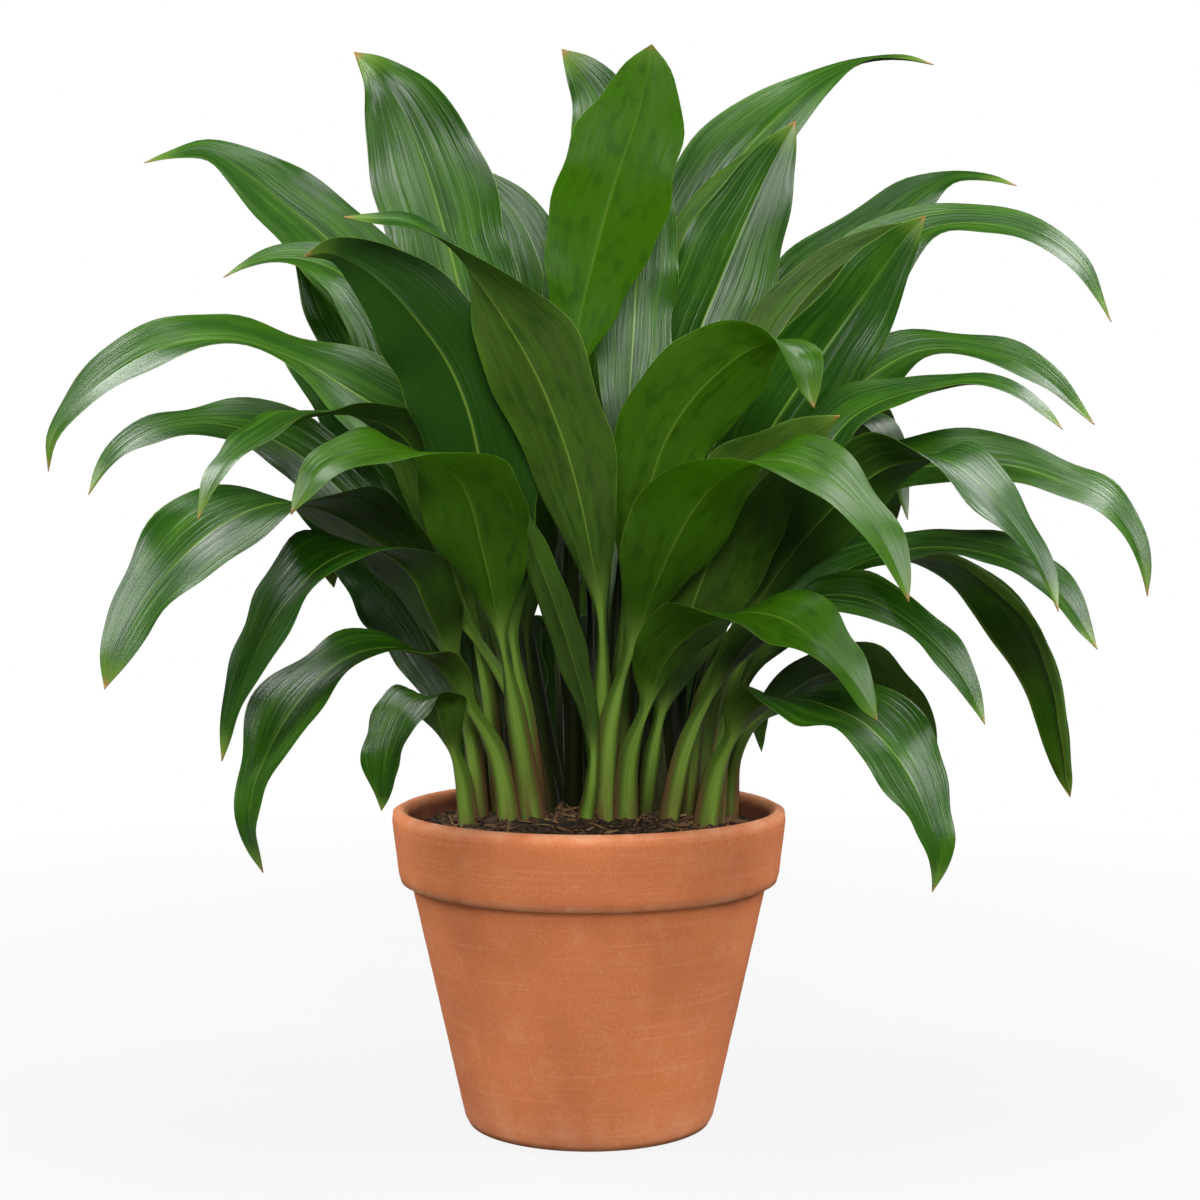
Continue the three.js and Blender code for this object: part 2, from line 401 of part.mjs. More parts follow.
/** Pushes rows along Y until no two leaves meet. Which of two lies behind is settled at the start. */
function bendClear(leaves) {
  const order = new Map();
  const pair = (a, b) => `${a.leaf} ${a.part} ${b.leaf} ${b.part}`;
  eachMeeting(leaves, (a, b, behind) => {
    const vote = THREE.MathUtils.clamp(behind, -DECIDING_DEPTH, DECIDING_DEPTH);
    order.set(pair(a, b), (order.get(pair(a, b)) ?? 0) + vote);
  });
  for (let pass = 0; pass < PASSES; pass++) {
    const backward = leaves.map((leaf) => leaf.rows.map(() => 0));
    const forward = leaves.map((leaf) => leaf.rows.map(() => 0));
    eachMeeting(leaves, (a, b, behind) => {
      const [rear, front] = (order.get(pair(a, b)) ?? behind) >= 0 ? [a, b] : [b, a];
      const lack = CLEARANCE - (rear.low - front.high);
      backward[rear.leaf][rear.row] = Math.max(backward[rear.leaf][rear.row], lack);
      forward[front.leaf][front.row] = Math.max(forward[front.leaf][front.row], lack);
    });
    leaves.forEach((leaf, n) => {
      const moved = leaf.push.map((push, i) => push + GIVE * (backward[n][i] - forward[n][i]));
      leaf.push = leaf.push.map((push, i) => {
        if (i < FIXED_ROWS) return 0;
        return (moved[i - 1] + 4 * moved[i] + (moved[i + 1] ?? moved[i])) / 6;
      });
    });
  }
}

// ---- Leaf shapes ----------------------------------------------------------------------------
/** A closed geometry from rings of corners and its two end points. */
function skinRings(rings, start, end) {
  const sides = rings[0].length;
  const vertices = [start, ...rings.flat(), end];
  const corner = (ring, side) => 1 + ring * sides + (side % sides);
  const last = vertices.length - 1;
  const triangles = [];
  for (let side = 0; side < sides; side++) {
    triangles.push(0, corner(0, side + 1), corner(0, side));
    triangles.push(last, corner(rings.length - 1, side), corner(rings.length - 1, side + 1));
  }
  for (let ring = 0; ring < rings.length - 1; ring++) {
    for (let side = 0; side < sides; side++) {
      const [a, b] = [corner(ring, side), corner(ring, side + 1)];
      const [c, d] = [corner(ring + 1, side), corner(ring + 1, side + 1)];
      // both faces of a blade split along the same diagonal, so that it never crosses itself
      if (side < sides / 2) triangles.push(a, b, c, b, d, c);
      else triangles.push(a, d, c, a, b, d);
    }
  }
  const positions = vertices.flatMap((v) => v.toArray());
  const geometry = new THREE.BufferGeometry();
  geometry.setAttribute("position", new THREE.Float32BufferAttribute(positions, 3));
  geometry.setIndex(triangles);
  return geometry;
}

function leafGeometry(leaf) {
  const { frames, tip } = frameRows(leaf);
  const rings = frames.map((frame) => rowCorners(frame));
  return skinRings(rings, frames[0].centre, tip);
}

/** The hole that a leaf's petiole stands in, a little wider and deeper than the petiole. */
function holeGeometry(leaf) {
  const [foot, collar] = frameRows(leaf).frames;
  const along = collar.centre.clone().sub(foot.centre).normalize();
  const bottom = { ...foot, centre: foot.centre.clone().addScaledVector(along, -GAP) };
  return skinRings([rowCorners(bottom, GAP), rowCorners(collar, GAP)], bottom.centre, collar.centre);
}

// ---- Pot and soil shapes --------------------------------------------------------------------
const neckLevel = POT_HEIGHT - COLLAR_HEIGHT;
const mouthRadius = RIM_RADIUS - WALL;
const innerNeckRadius = NECK_RADIUS - WALL;
const innerFloorRadius = BASE_RADIUS - WALL;

// The pot's inside as [radius, height], from the mouth down to the floor.
const INSIDE = [
  [mouthRadius - MOUTH_TAPER, neckLevel + SHOULDER_ABOVE_NECK],
  [innerNeckRadius, neckLevel - SHOULDER_BELOW_NECK],
  [innerFloorRadius, FLOOR + FLOOR_CHAMFER],
  [innerFloorRadius - FLOOR_CHAMFER, FLOOR],
];

/** [radius, height] points of a rounded corner between two angles, in degrees, about a centre. */
function rounded([r, z], radius, from, to) {
  return Array.from({ length: ROUND_STEPS + 1 }, (_, i) => {
    const angle = THREE.MathUtils.degToRad(THREE.MathUtils.lerp(from, to, i / ROUND_STEPS));
    return [r + radius * Math.cos(angle), z + radius * Math.sin(angle)];
  });
}

function potGeometry() {
  const profile = [
    [0, 0],
    ...rounded([BASE_RADIUS - FOOT_ROUND, FOOT_ROUND], FOOT_ROUND, -90, 0),
    [NECK_RADIUS, neckLevel],
    ...rounded([COLLAR_FOOT_RADIUS - COLLAR_ROUND, neckLevel + COLLAR_ROUND], COLLAR_ROUND, -80, 0),
    ...rounded([RIM_RADIUS - LIP_ROUND, POT_HEIGHT - LIP_ROUND], LIP_ROUND, 0, 90),
    ...rounded([mouthRadius + MOUTH_ROUND, POT_HEIGHT - MOUTH_ROUND], MOUTH_ROUND, 90, 180),
    ...INSIDE,
    [0, FLOOR],
  ];
  const outline = profile.map(([r, z]) => new THREE.Vector2(r, z));
  return new THREE.LatheGeometry(outline, POT_SIDES).rotateX(Math.PI / 2);
}

/** Height of the soil's surface at a place: a low mound with soft lumps. */
function soilHeight(x, y) {
  const mound = 1 - THREE.MathUtils.smoothstep(Math.hypot(x, y), SOIL_CROWN_RADIUS, SOIL_FLAT_RADIUS);
  const lumps =
    Math.sin(x * 0.13 + y * 0.05) + Math.sin(y * 0.17 - x * 0.07 + 2) + Math.sin((x + y) * 0.09 + 4);
  return SOIL_LEVEL + SOIL_MOUND * mound + SOIL_LUMP * lumps;
}

/** The soil: the pot's inside, a little smaller, under the mound. */
function soilGeometry() {
  const ring = (radius, z) => Array.from({ length: SOIL_SIDES }, (_, side) => {
    const angle = (side / SOIL_SIDES) * 2 * Math.PI;
    const [x, y] = [radius * Math.cos(angle), radius * Math.sin(angle)];
    return new THREE.Vector3(x, y, z ?? soilHeight(x, y));
  });
  const wall = INSIDE.map(([radius, z]) => ring(radius - SOIL_SLACK, z + GAP)).reverse();
  const surface = [mouthRadius - MOUTH_TAPER - SOIL_SLACK, ...SOIL_RINGS].map((radius) => ring(radius));
  const bottom = new THREE.Vector3(0, 0, FLOOR + GAP);
  return skinRings([...wall, ...surface], bottom, new THREE.Vector3(0, 0, soilHeight(0, 0)));
}

// ---- Booleans -------------------------------------------------------------------------------
function toSolid(geometry) {
  const bare = geometry.clone();
  bare.deleteAttribute("normal");
  bare.deleteAttribute("uv");
  const merged = mergeVertices(bare);
  return new wasm.Manifold(new wasm.Mesh({
    numProp: 3,
    vertProperties: new Float32Array(merged.attributes.position.array),
    triVerts: new Uint32Array(merged.index.array),
  }));
}

function toGeometry(solid) {
  const mesh = solid.getMesh();
  const geometry = new THREE.BufferGeometry();
  geometry.setAttribute("position", new THREE.BufferAttribute(mesh.vertProperties, 3));
  geometry.setIndex(new THREE.BufferAttribute(mesh.triVerts, 1));
  return geometry;
}

/** The soil with a hole for each leaf's petiole. */
function holedSoil(leaves) {
  const holes = leaves.map((leaf) => toSolid(holeGeometry(leaf)));
  return toGeometry(holes.reduce((rest, hole) => rest.subtract(hole), toSolid(soilGeometry())));
}

// ---- Assembly -------------------------------------------------------------------------------
const terracotta = new THREE.MeshStandardMaterial({ color: 0xc8784c, roughness: 0.85, metalness: 0 });
const pottingSoil = new THREE.MeshStandardMaterial({ color: 0x33261c, roughness: 1, metalness: 0 });
const leafGreen = new THREE.MeshStandardMaterial({ color: 0x2f6b2a, roughness: 0.35, metalness: 0 });

const group = new THREE.Group();

function place(name, geometry, material) {
  const mesh = new THREE.Mesh(geometry, material);
  mesh.name = name;
  group.add(mesh);
}

const leaves = LEAVES.map(planLeaf);
bendClear(leaves);

place("pot", potGeometry(), terracotta);
place("soil", holedSoil(leaves), pottingSoil);
for (const leaf of leaves) place(leaf.name, leafGeometry(leaf), leafGreen);

export default group;
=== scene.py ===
"""A cast iron plant in a terracotta pot: finished surfaces for the pot, the soil and every leaf."""

import math
import random

import bpy
import numpy as np
from bpy.props import (
    FloatProperty,
    FloatVectorProperty,
    IntProperty,
    PointerProperty,
)
from mathutils import Matrix, Vector, noise


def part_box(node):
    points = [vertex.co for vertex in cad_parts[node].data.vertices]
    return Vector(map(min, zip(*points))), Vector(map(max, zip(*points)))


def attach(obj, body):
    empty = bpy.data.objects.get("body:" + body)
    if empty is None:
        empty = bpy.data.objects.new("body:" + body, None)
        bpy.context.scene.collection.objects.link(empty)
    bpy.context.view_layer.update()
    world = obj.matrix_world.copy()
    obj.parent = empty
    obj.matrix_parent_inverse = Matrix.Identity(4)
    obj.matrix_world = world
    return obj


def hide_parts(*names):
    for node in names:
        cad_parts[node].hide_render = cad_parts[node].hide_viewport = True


bl_info = {
    "name": "Potted Cast Iron Plant",
    "version": (1, 0, 0),
    "blender": (4, 5, 0),
    "location": "3D View > Sidebar > Plant",
    "description": "Builds a terracotta pot, its soil and a clump of aspidistra leaves",
    "category": "Add Mesh",
}

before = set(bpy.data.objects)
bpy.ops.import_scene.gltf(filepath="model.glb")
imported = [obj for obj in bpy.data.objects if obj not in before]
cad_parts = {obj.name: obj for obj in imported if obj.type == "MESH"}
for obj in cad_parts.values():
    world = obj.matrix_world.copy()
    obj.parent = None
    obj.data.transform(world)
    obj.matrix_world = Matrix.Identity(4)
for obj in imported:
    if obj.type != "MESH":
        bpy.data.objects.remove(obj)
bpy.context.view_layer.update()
LEAF_NODES = sorted(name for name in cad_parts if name.startswith("leaf_"))
_, POT_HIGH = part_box("pot")
SOIL_LOW, SOIL_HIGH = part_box("soil")

MM = 0.001


def linear(hex_colour):
    """A colour written as sRGB hex, such as 0xC8784C, in the linear values that materials take."""
    channels = [(hex_colour >> shift & 0xFF) / 255 for shift in (16, 8, 0)]
    return [c / 12.92 if c <= 0.04045 else ((c + 0.055) / 1.055) ** 2.4 for c in channels]


# ---- Settings -------------------------------------------------------------------------------
def colour(name, description, hex_colour):
    """A colour property."""
    return FloatVectorProperty(
        name=name, description=description, subtype="COLOR", min=0, max=1, default=linear(hex_colour)
    )


def length(name, description, millimetres):
    """A length property, given in millimetres and kept in metres."""
    return FloatProperty(
        name=name, description=description, unit="LENGTH", precision=5, min=0, default=millimetres * MM
    )


class PotSettings(bpy.types.PropertyGroup):
    """Sizes and colours of the terracotta pot."""

    collar_height: length("Collar height", "Height of the thick band around the mouth", 51.5)
    collar_foot_radius: length("Collar foot radius", "Outer radius at the band's lower edge", 131)
    neck_radius: length("Neck radius", "Outer radius just under the band", 122.5)
    base_radius: length("Base radius", "Outer radius of the base", 86)
    wall: length("Wall", "Thickness of the wall", 11)
    floor: length("Floor", "Thickness of the floor", 14)
    turning_height: length("Turning height", "Height of the ridges that turning leaves", 0.16)
    turning_spacing: length("Turning spacing", "Distance between those ridges", 3.4)
    clay: colour("Clay", "Fired clay", 0xD27B49)
    dark_clay: colour("Dark clay", "Clay where it fired darker", 0xBD6941)
    bloom: colour("Bloom", "Pale salts that dry out on the clay", 0xE4A780)
    damp: colour("Damp", "Clay stained by the soil", 0x5A3322)


class SoilSettings(bpy.types.PropertyGroup):
    """Sizes and colours of the potting soil."""

    mound: length("Mound", "How much higher the soil is in the middle", 9)
    lump_height: length("Lump height", "Height of the clods on its surface", 3.2)
    crumbs: IntProperty(name="Crumbs", description="Loose crumbs of soil", min=0, default=900)
    flakes: IntProperty(name="Flakes", description="Flakes of bark", min=0, default=520)
    fibres: IntProperty(name="Fibres", description="Bits of root and straw", min=0, default=260)
    seed: IntProperty(name="Seed", description="Changes where the bits lie", default=11)
    peat: colour("Peat", "Dark, damp soil", 0x251A12)
    dry_peat: colour("Dry peat", "Where the soil has dried", 0x403020)
    bark: colour("Bark", "Flakes of bark", 0x6B4F32)
    dark_bark: colour("Dark bark", "Rotted bark", 0x3A2819)
    straw: colour("Straw", "Pale fibres", 0x947A50)


class LeafSettings(bpy.types.PropertyGroup):
    """Sizes and colours of the leaves."""

    blade_thickness: length("Blade thickness", "Thickness of a blade between its ribs", 0.7)
    midrib_height: length("Midrib height", "How far the midrib stands out under a blade", 1.5)
    midrib_width: length("Midrib width", "Half width of the midrib", 1.8)
    groove_depth: length("Groove depth", "Depth of the midrib's groove on top", 0.35)
    pleat_height: length("Pleat height", "Height of the broad pleats along a blade", 0.28)
    pleats: IntProperty(name="Pleats", description="Broad pleats in half a blade", default=4)
    ripple_height: length("Ripple height", "Extra swing of a blade's edges", 1.6)
    swell_height: length("Swell height", "Height of the slow swells along a blade", 1.3)
    wander: FloatProperty(
        name="Wander",
        description="How far each wave moves an edge, as a share of half the width",
        default=0.035,
    )
    seed: IntProperty(name="Seed", description="Changes how leaves differ in age and pattern", default=5)
    deep_green: colour("Deep green", "Upper face of a grown leaf", 0x1B4408)
    fresh_green: colour("Fresh green", "Upper face of a young leaf", 0x4A7C0E)
    under_green: colour("Under green", "Lower face, which has less wax", 0x455F20)
    glow_green: colour("Glow green", "Light that comes through a blade", 0xA0CC10)
    rib_green: colour("Rib green", "Midrib and edges", 0x7FA03A)
    stalk_green: colour("Stalk green", "Leaf stalks", 0x7C9E3E)
    shade_green: colour("Shade green", "Leaves deep in the clump, where little light gets in", 0x161E08)
    foot_brown: colour("Foot brown", "Stalks and sheath edges near the soil", 0x6A5034)
    tip_brown: colour("Tip brown", "Dried tips", 0xA0783C)


class StageSettings(bpy.types.PropertyGroup):
    """Floor, lights and camera."""

    floor_radius: length("Floor radius", "Radius of the floor", 1600)
    camera_side: length("Camera side", "How far the camera stands to the right of the middle", 7.5)
    camera_distance: length("Camera distance", "Distance in front of the plant", 1600)
    camera_height: length("Camera height", "Height above the floor", 451)
    camera_tilt: FloatProperty(
        name="Camera tilt", description="Downward tilt", subtype="ANGLE", default=math.radians(3.2)
    )
    camera_lens: FloatProperty(
        name="Camera lens", description="Focal length for a 36 mm frame", unit="CAMERA", default=69.75
    )


class PlantSettings(bpy.types.PropertyGroup):
    """All settings of the potted plant."""

    pot: PointerProperty(type=PotSettings)
    soil: PointerProperty(type=SoilSettings)
    leaves: PointerProperty(type=LeafSettings)
    stage: PointerProperty(type=StageSettings)


# ---- Materials ------------------------------------------------------------------------------
def new_material(name):
    """An empty material and its node tree."""
    material = bpy.data.materials.new(name)
    material.use_nodes = True
    material.node_tree.nodes.clear()
    return material, material.node_tree


def add(tree, kind, inputs=(), **settings):
    """Adds a node, sets it up, and fills its inputs in use, named or in their order, with values,
    colours, sockets or nodes. A node stands for its first output in use."""
    node = tree.nodes.new(f"ShaderNode{kind}")
    for name, value in settings.items():
        setattr(node, name, value)
    used = [socket for socket in node.inputs if socket.enabled]
    for key, value in inputs.items() if isinstance(inputs, dict) else enumerate(inputs):
        socket = used[key] if isinstance(key, int) else next(s for s in used if s.name == key)
        if isinstance(value, bpy.types.Node):
            value = next(s for s in value.outputs if s.enabled)
        if isinstance(value, bpy.types.NodeSocket):
            tree.links.new(value, socket)
        elif socket.type == "RGBA":
            socket.default_value = [*value, 1]
        else:
            socket.default_value = value
    return node


def layered(tree, ground, coats):
    """A ground colour under coats of other colours. Each coat is its share, from 0 to 1, and its colour."""
    for share, tint in coats:
        ground = add(tree, "Mix", [share, ground, tint], data_type="RGBA")
    return ground


def terracotta(pot):
    """Unglazed earthenware, turned and fired: matte and open-pored, mottled by the kiln, with turning
    lines around it, pale salts at its foot and rim, and a dark stain where the soil keeps it damp."""
    material, tree = new_material("unglazed_terracotta")
    smooth = {"interpolation_type": "SMOOTHSTEP"}
    place = add(tree, "TexCoord").outputs["Object"]
    height = add(tree, "SeparateXYZ", [place]).outputs["Z"]
    patches = add(tree, "TexNoise", {"Vector": place, "Scale": 1 / (70 * MM), "Detail": 3})
    clouds = add(tree, "TexNoise", {"Vector": place, "Scale": 1 / (20 * MM), "Detail": 6, "Roughness": 0.62})
    pores = add(tree, "TexNoise", {"Vector": place, "Scale": 1 / (1.6 * MM), "Detail": 3, "Roughness": 0.7})
    # turning lines: long around the pot, about 2 mm apart up it
    around = add(tree, "Mapping", {"Vector": place, "Scale": (9, 9, 1 / (2.2 * MM))})
    lines = add(tree, "TexNoise", {"Vector": around, "Scale": 1, "Detail": 2, "Roughness": 0.6})
    scars = add(tree, "TexNoise", {"Vector": around, "Scale": 0.35, "Detail": 5, "Roughness": 0.8})

    # salts gather near the foot, along the rim and on the collar's lower edge, in patches
    neck = POT_HIGH.z - pot.collar_height
    foot = add(tree, "MapRange", [height, 38 * MM, 0.0, 0.0, 0.5], **smooth)
    rim = add(tree, "MapRange", [height, POT_HIGH.z - 8 * MM, POT_HIGH.z, 0.0, 0.9], **smooth)
    edge = add(tree, "MapRange", [height, neck + 8 * MM, neck + 1 * MM, 0.0, 0.8], **smooth)
    above_neck = add(tree, "Math", [height, neck - 0.5 * MM], operation="GREATER_THAN")
    edge = add(tree, "Math", [edge, above_neck], operation="MULTIPLY")
    salts = add(tree, "Math", [foot, rim], operation="MAXIMUM")
    salts = add(tree, "Math", [salts, edge], operation="MAXIMUM")
    patchy = add(tree, "MapRange", [clouds, 0.32, 0.66, 0.1, 0.75], **smooth)

    # damp rises unevenly from the soil, inside
    inside = add(tree, "Attribute", attribute_name="inside").outputs["Fac"]
    lifted = add(tree, "Math", [clouds, -9 * MM, height], operation="MULTIPLY_ADD")
    damp = add(tree, "MapRange", [lifted, POT_HIGH.z - 5 * MM, POT_HIGH.z - 13 * MM, 0.0, 0.85], **smooth)

    base = layered(
        tree,
        pot.clay,
        [
            (add(tree, "MapRange", [patches, 0.56, 0.36, 0.0, 0.5], **smooth), pot.dark_clay),
            (add(tree, "MapRange", [clouds, 0.5, 0.76, 0.0, 0.22], **smooth), pot.bloom),
            (add(tree, "MapRange", [clouds, 0.46, 0.26, 0.0, 0.3], **smooth), pot.dark_clay),
            (add(tree, "MapRange", [lines, 0.52, 0.72, 0.0, 0.16], **smooth), pot.bloom),
            (add(tree, "MapRange", [scars, 0.63, 0.72, 0.0, 0.3], **smooth), pot.bloom),
            (add(tree, "MapRange", [scars, 0.36, 0.3, 0.0, 0.4], **smooth), pot.dark_clay),
            (add(tree, "MapRange", [pores, 0.48, 0.3, 0.0, 0.6], **smooth), pot.dark_clay),
            (add(tree, "MapRange", [pores, 0.56, 0.72, 0.0, 0.4], **smooth), pot.bloom),
            (add(tree, "Math", [salts, patchy], operation="MULTIPLY"), pot.bloom),
            (add(tree, "Math", [inside, damp], operation="MULTIPLY"), pot.damp),
        ],
    )
    grain = add(tree, "Math", [lines, 0.8, pores], operation="MULTIPLY_ADD")
    bump = add(tree, "Bump", {"Height": grain, "Strength": 0.45, "Distance": 0.25 * MM})
    surface = {"Base Color": base, "Roughness": 0.88, "IOR": 1.5, "Specular IOR Level": 0.35, "Normal": bump}
    add(tree, "OutputMaterial", [add(tree, "BsdfPrincipled", surface)])
    return material


def peat(soil):
    """Potting soil of peat and composted bark: nearly black where damp, brown where it has dried, and
    rough at every scale, so it hardly shines."""
    material, tree = new_material("peat_potting_soil")
    place = add(tree, "TexCoord").outputs["Object"]
    clods = add(tree, "TexNoise", {"Vector": place, "Scale": 1 / (9 * MM), "Detail": 5, "Roughness": 0.7})
    grit = add(tree, "TexNoise", {"Vector": place, "Scale": 1 / (1.8 * MM), "Detail": 4, "Roughness": 0.75})
    base = layered(
        tree,
        soil.peat,
        [
            (add(tree, "MapRange", [clods, 0.42, 0.7]), soil.dry_peat),
            (add(tree, "MapRange", [grit, 0.6, 0.7]), soil.bark),
        ],
    )
    bump = add(tree, "Bump", {"Height": grit, "Strength": 0.9, "Distance": 1.2 * MM})
    surface = {"Base Color": base, "Roughness": 0.93, "IOR": 1.45, "Specular IOR Level": 0.3, "Normal": bump}
    add(tree, "OutputMaterial", [add(tree, "BsdfPrincipled", surface)])
    return material


def loose_bits(name, light, dark, grain):
    """Dry plant matter on the soil, such as bark or straw: dull and fibrous, each bit of its own shade."""
    material, tree = new_material(name)
    shade = add(tree, "Attribute", attribute_name="shade").outputs["Fac"]
    place = add(tree, "TexCoord").outputs["Object"]
    fibres = add(tree, "TexNoise", {"Vector": place, "Scale": 1 / grain, "Detail": 3, "Roughness": 0.7})
    worn = add(tree, "MapRange", [fibres, 0.3, 0.8, 0.0, 0.6])
    base = layered(tree, dark, [(shade, light), (worn, dark)])
    bump = add(tree, "Bump", {"Height": fibres, "Strength": 0.6, "Distance": 0.4 * MM})
    surface = {"Base Color": base, "Roughness": 0.85, "IOR": 1.5, "Specular IOR Level": 0.3, "Normal": bump}
    add(tree, "OutputMaterial", [add(tree, "BsdfPrincipled", surface)])
    return material


def leaf_skin(leaf, above):
    """One face of a grown aspidistra leaf, leathery and with fine ribs that run from its stalk to its tip.
    Above it is waxed, and the ribs draw the highlights out into streaks. Below it is duller and fresher.
    Light from behind shows through green."""
    material, tree = new_material("waxed_leaf_top" if above else "dull_leaf_underside")
    smooth = {"interpolation_type": "SMOOTHSTEP"}
    across, v, _ = add(tree, "SeparateXYZ", [add(tree, "UVMap", uv_map="Leaf")]).outputs
    age = add(tree, "Attribute", attribute_name="age").outputs["Fac"]
    youth = add(tree, "MapRange", [age, 0.0, -1.0])
    shift = add(tree, "Attribute", attribute_name="shift").outputs["Fac"]
    # from 0 at the midrib to 1 at the edges
    signed = add(tree, "Math", [across, 2.0, -1.0], operation="MULTIPLY_ADD")
    out = add(tree, "Math", [signed], operation="ABSOLUTE")
    # noise that is drawn out along the leaf, and another piece of it for each leaf
    spread = add(tree, "CombineXYZ", [across, v, add(tree, "Math", [shift, 40.0], operation="MULTIPLY")])
    streaks = {}
    for name, size, detail in (
        ("ribs", (95, 1.6, 1), 2),  # about 0.9 mm apart on a wide blade
        ("bands", (26, 1.1, 1), 2),  # about 3 mm apart
        ("clouds", (3.5, 5, 1), 3),
        ("blotches", (9, 16, 1), 4),
    ):
        drawn = add(tree, "Mapping", {"Vector": spread, "Scale": size})
        streaks[name] = add(tree, "TexNoise", {"Vector": drawn, "Scale": 1, "Detail": detail})

    midrib = add(tree, "MapRange", [out, 0.035, 0.008, 0.0, 0.65], **smooth)
    midrib = add(tree, "Math", [midrib, add(tree, "MapRange", [v, 1.0, 0.5])], operation="MULTIPLY")
    margin = add(tree, "MapRange", [out, 0.98, 0.998, 0.0, 0.6], **smooth)
    stalk = add(tree, "MapRange", [v, 0.12, -0.04], **smooth)
    stalk_bands = add(tree, "MapRange", [streaks["bands"], 0.42, 0.7, 0.0, 0.3], **smooth)
    # painted shade: a stalk darkens towards its flanks, so it looks round and the gaps between stalks look
    # dark; it stays palest along its keel
    painted_flank_shade = add(tree, "MapRange", [out, 0.15, 0.75, 0.0, 0.65], **smooth)
    bands_and_painted_shade = add(tree, "Math", [stalk_bands, painted_flank_shade], operation="MAXIMUM")
    # the foot browns towards the soil, first along the thin edges of the stalk's channel
    edges = add(
        tree,
        "Math",
        [add(tree, "MapRange", [out, 0.5, 0.9], **smooth), add(tree, "MapRange", [v, -0.15, -0.6], **smooth)],
        operation="MULTIPLY",
    )
    foot = add(
        tree,
        "Math",
        [
            add(tree, "MapRange", [v, -0.4, -0.86], **smooth),
            add(tree, "MapRange", [streaks["clouds"], 0.25, 0.6, 0.1, 0.9], **smooth),
        ],
        operation="MULTIPLY",
    )
    # the clump's dark heart is painted in, because the lamps alone leave it too light
    shaded = add(tree, "Attribute", attribute_name="shaded").outputs["Fac"]
    tip = add(tree, "Math", [streaks["bands"], 0.03, v], operation="MULTIPLY_ADD")
    yellow_tip = add(tree, "MapRange", [tip, 0.93, 1.0, 0.0, 0.5], **smooth)
    brown_tip = add(tree, "MapRange", [tip, 0.99, 1.012], **smooth)

    base = layered(
        tree,
        leaf.deep_green if above else leaf.under_green,
        [
            (youth, leaf.fresh_green),
            (add(tree, "MapRange", [streaks["clouds"], 0.42, 0.72, 0.0, 0.4], **smooth), leaf.fresh_green),
            (add(tree, "MapRange", [streaks["bands"], 0.44, 0.72, 0.0, 0.4], **smooth), leaf.fresh_green),
            (add(tree, "MapRange", [streaks["ribs"], 0.5, 0.75, 0.0, 0.25], **smooth), leaf.fresh_green),
            (add(tree, "MapRange", [streaks["blotches"], 0.52, 0.3, 0.0, 0.5], **smooth), leaf.deep_green),
            (add(tree, "MapRange", [age, 0.0, 1.0, 0.0, 0.9]), leaf.deep_green),
            (add(tree, "Math", [midrib, margin], operation="MAXIMUM"), leaf.rib_green),
            (stalk, leaf.stalk_green),
            # painted shade: darker green on the stalks' flanks, together with their darker bands
            (add(tree, "Math", [stalk, bands_and_painted_shade], operation="MULTIPLY"), leaf.deep_green),
            (add(tree, "Math", [edges, foot], operation="MAXIMUM"), leaf.foot_brown),
            (shaded, leaf.shade_green),
            (yellow_tip, leaf.rib_green),
            (brown_tip, leaf.tip_brown),
        ],
    )
    smoothest, roughest = (0.24, 0.38) if above else (0.36, 0.52)
    rough = add(tree, "MapRange", [streaks["bands"], 0.3, 0.7, smoothest, roughest])
    rough = add(tree, "Math", [stalk, 0.12 if above else -0.14, rough], operation="MULTIPLY_ADD")
    relief = add(tree, "Math", [streaks["bands"], 3.0, streaks["ribs"]], operation="MULTIPLY_ADD")
    # the ribs flatten out on the stalk and where they crowd together towards the tip
    ribbed = add(tree, "MapRange", [stalk, 0.0, 1.0, 0.7, 0.12])
    ribbed = add(tree, "Math", [ribbed, add(tree, "MapRange", [v, 0.6, 1.0, 1.0, 0.1])], operation="MULTIPLY")
    bump = add(tree, "Bump", {"Height": relief, "Strength": ribbed, "Distance": 0.45 * MM})
    surface = {"Base Color": base, "Roughness": rough, "IOR": 1.45, "Normal": bump}
    surface["Specular IOR Level"] = 0.43 if above else 0.28
    skin = add(tree, "BsdfPrincipled", surface)
    glow = add(tree, "BsdfTranslucent", {"Color": layered(tree, base, [(0.6, leaf.glow_green)])})
    thin = add(tree, "MapRange", [youth, 0.0, 1.0, 0.08, 0.6])
    thin = add(tree, "Math", [thin, add(tree, "MapRange", [stalk, 1.0, 0.0])], operation="MULTIPLY")
    add(tree, "OutputMaterial", [add(tree, "MixShader", [thin, skin, glow])])
    return material


# The floor's grey to the camera and to all else, and how much of what the camera sees is its glow.
FLOOR_GREY_SEEN = (0.4, 0.4, 0.4)
FLOOR_GREY_UNSEEN = (0.14, 0.14, 0.14)
FLOOR_GLOW = 0.85


def studio_floor(stage):
    """A painted studio floor: matte white around the plant, and fading into the white room beyond."""
    material, tree = new_material("matte_white_paint")
    place = add(tree, "TexCoord").outputs["Object"]
    distance = add(tree, "VectorMath", [place], operation="LENGTH").outputs["Value"]
    faded = add(tree, "MapRange", [distance, stage.floor_radius * 0.4, stage.floor_radius * 0.9])
    # to the eye the floor is white with soft shadows, but it throws only a little light on the plant
    seen = add(tree, "LightPath").outputs["Is Camera Ray"]
    tint = layered(tree, FLOOR_GREY_UNSEEN, [(seen, FLOOR_GREY_SEEN)])
    paint = add(tree, "BsdfPrincipled", {"Base Color": tint, "Roughness": 0.9})
    fill = add(tree, "Math", [seen, FLOOR_GLOW], operation="MULTIPLY")
    filled = add(tree, "MixShader", [fill, paint, add(tree, "Emission", {"Strength": 1.0})])
    add(tree, "OutputMaterial", [add(tree, "MixShader", [faded, filled, add(tree, "BsdfTransparent")])])
    return material


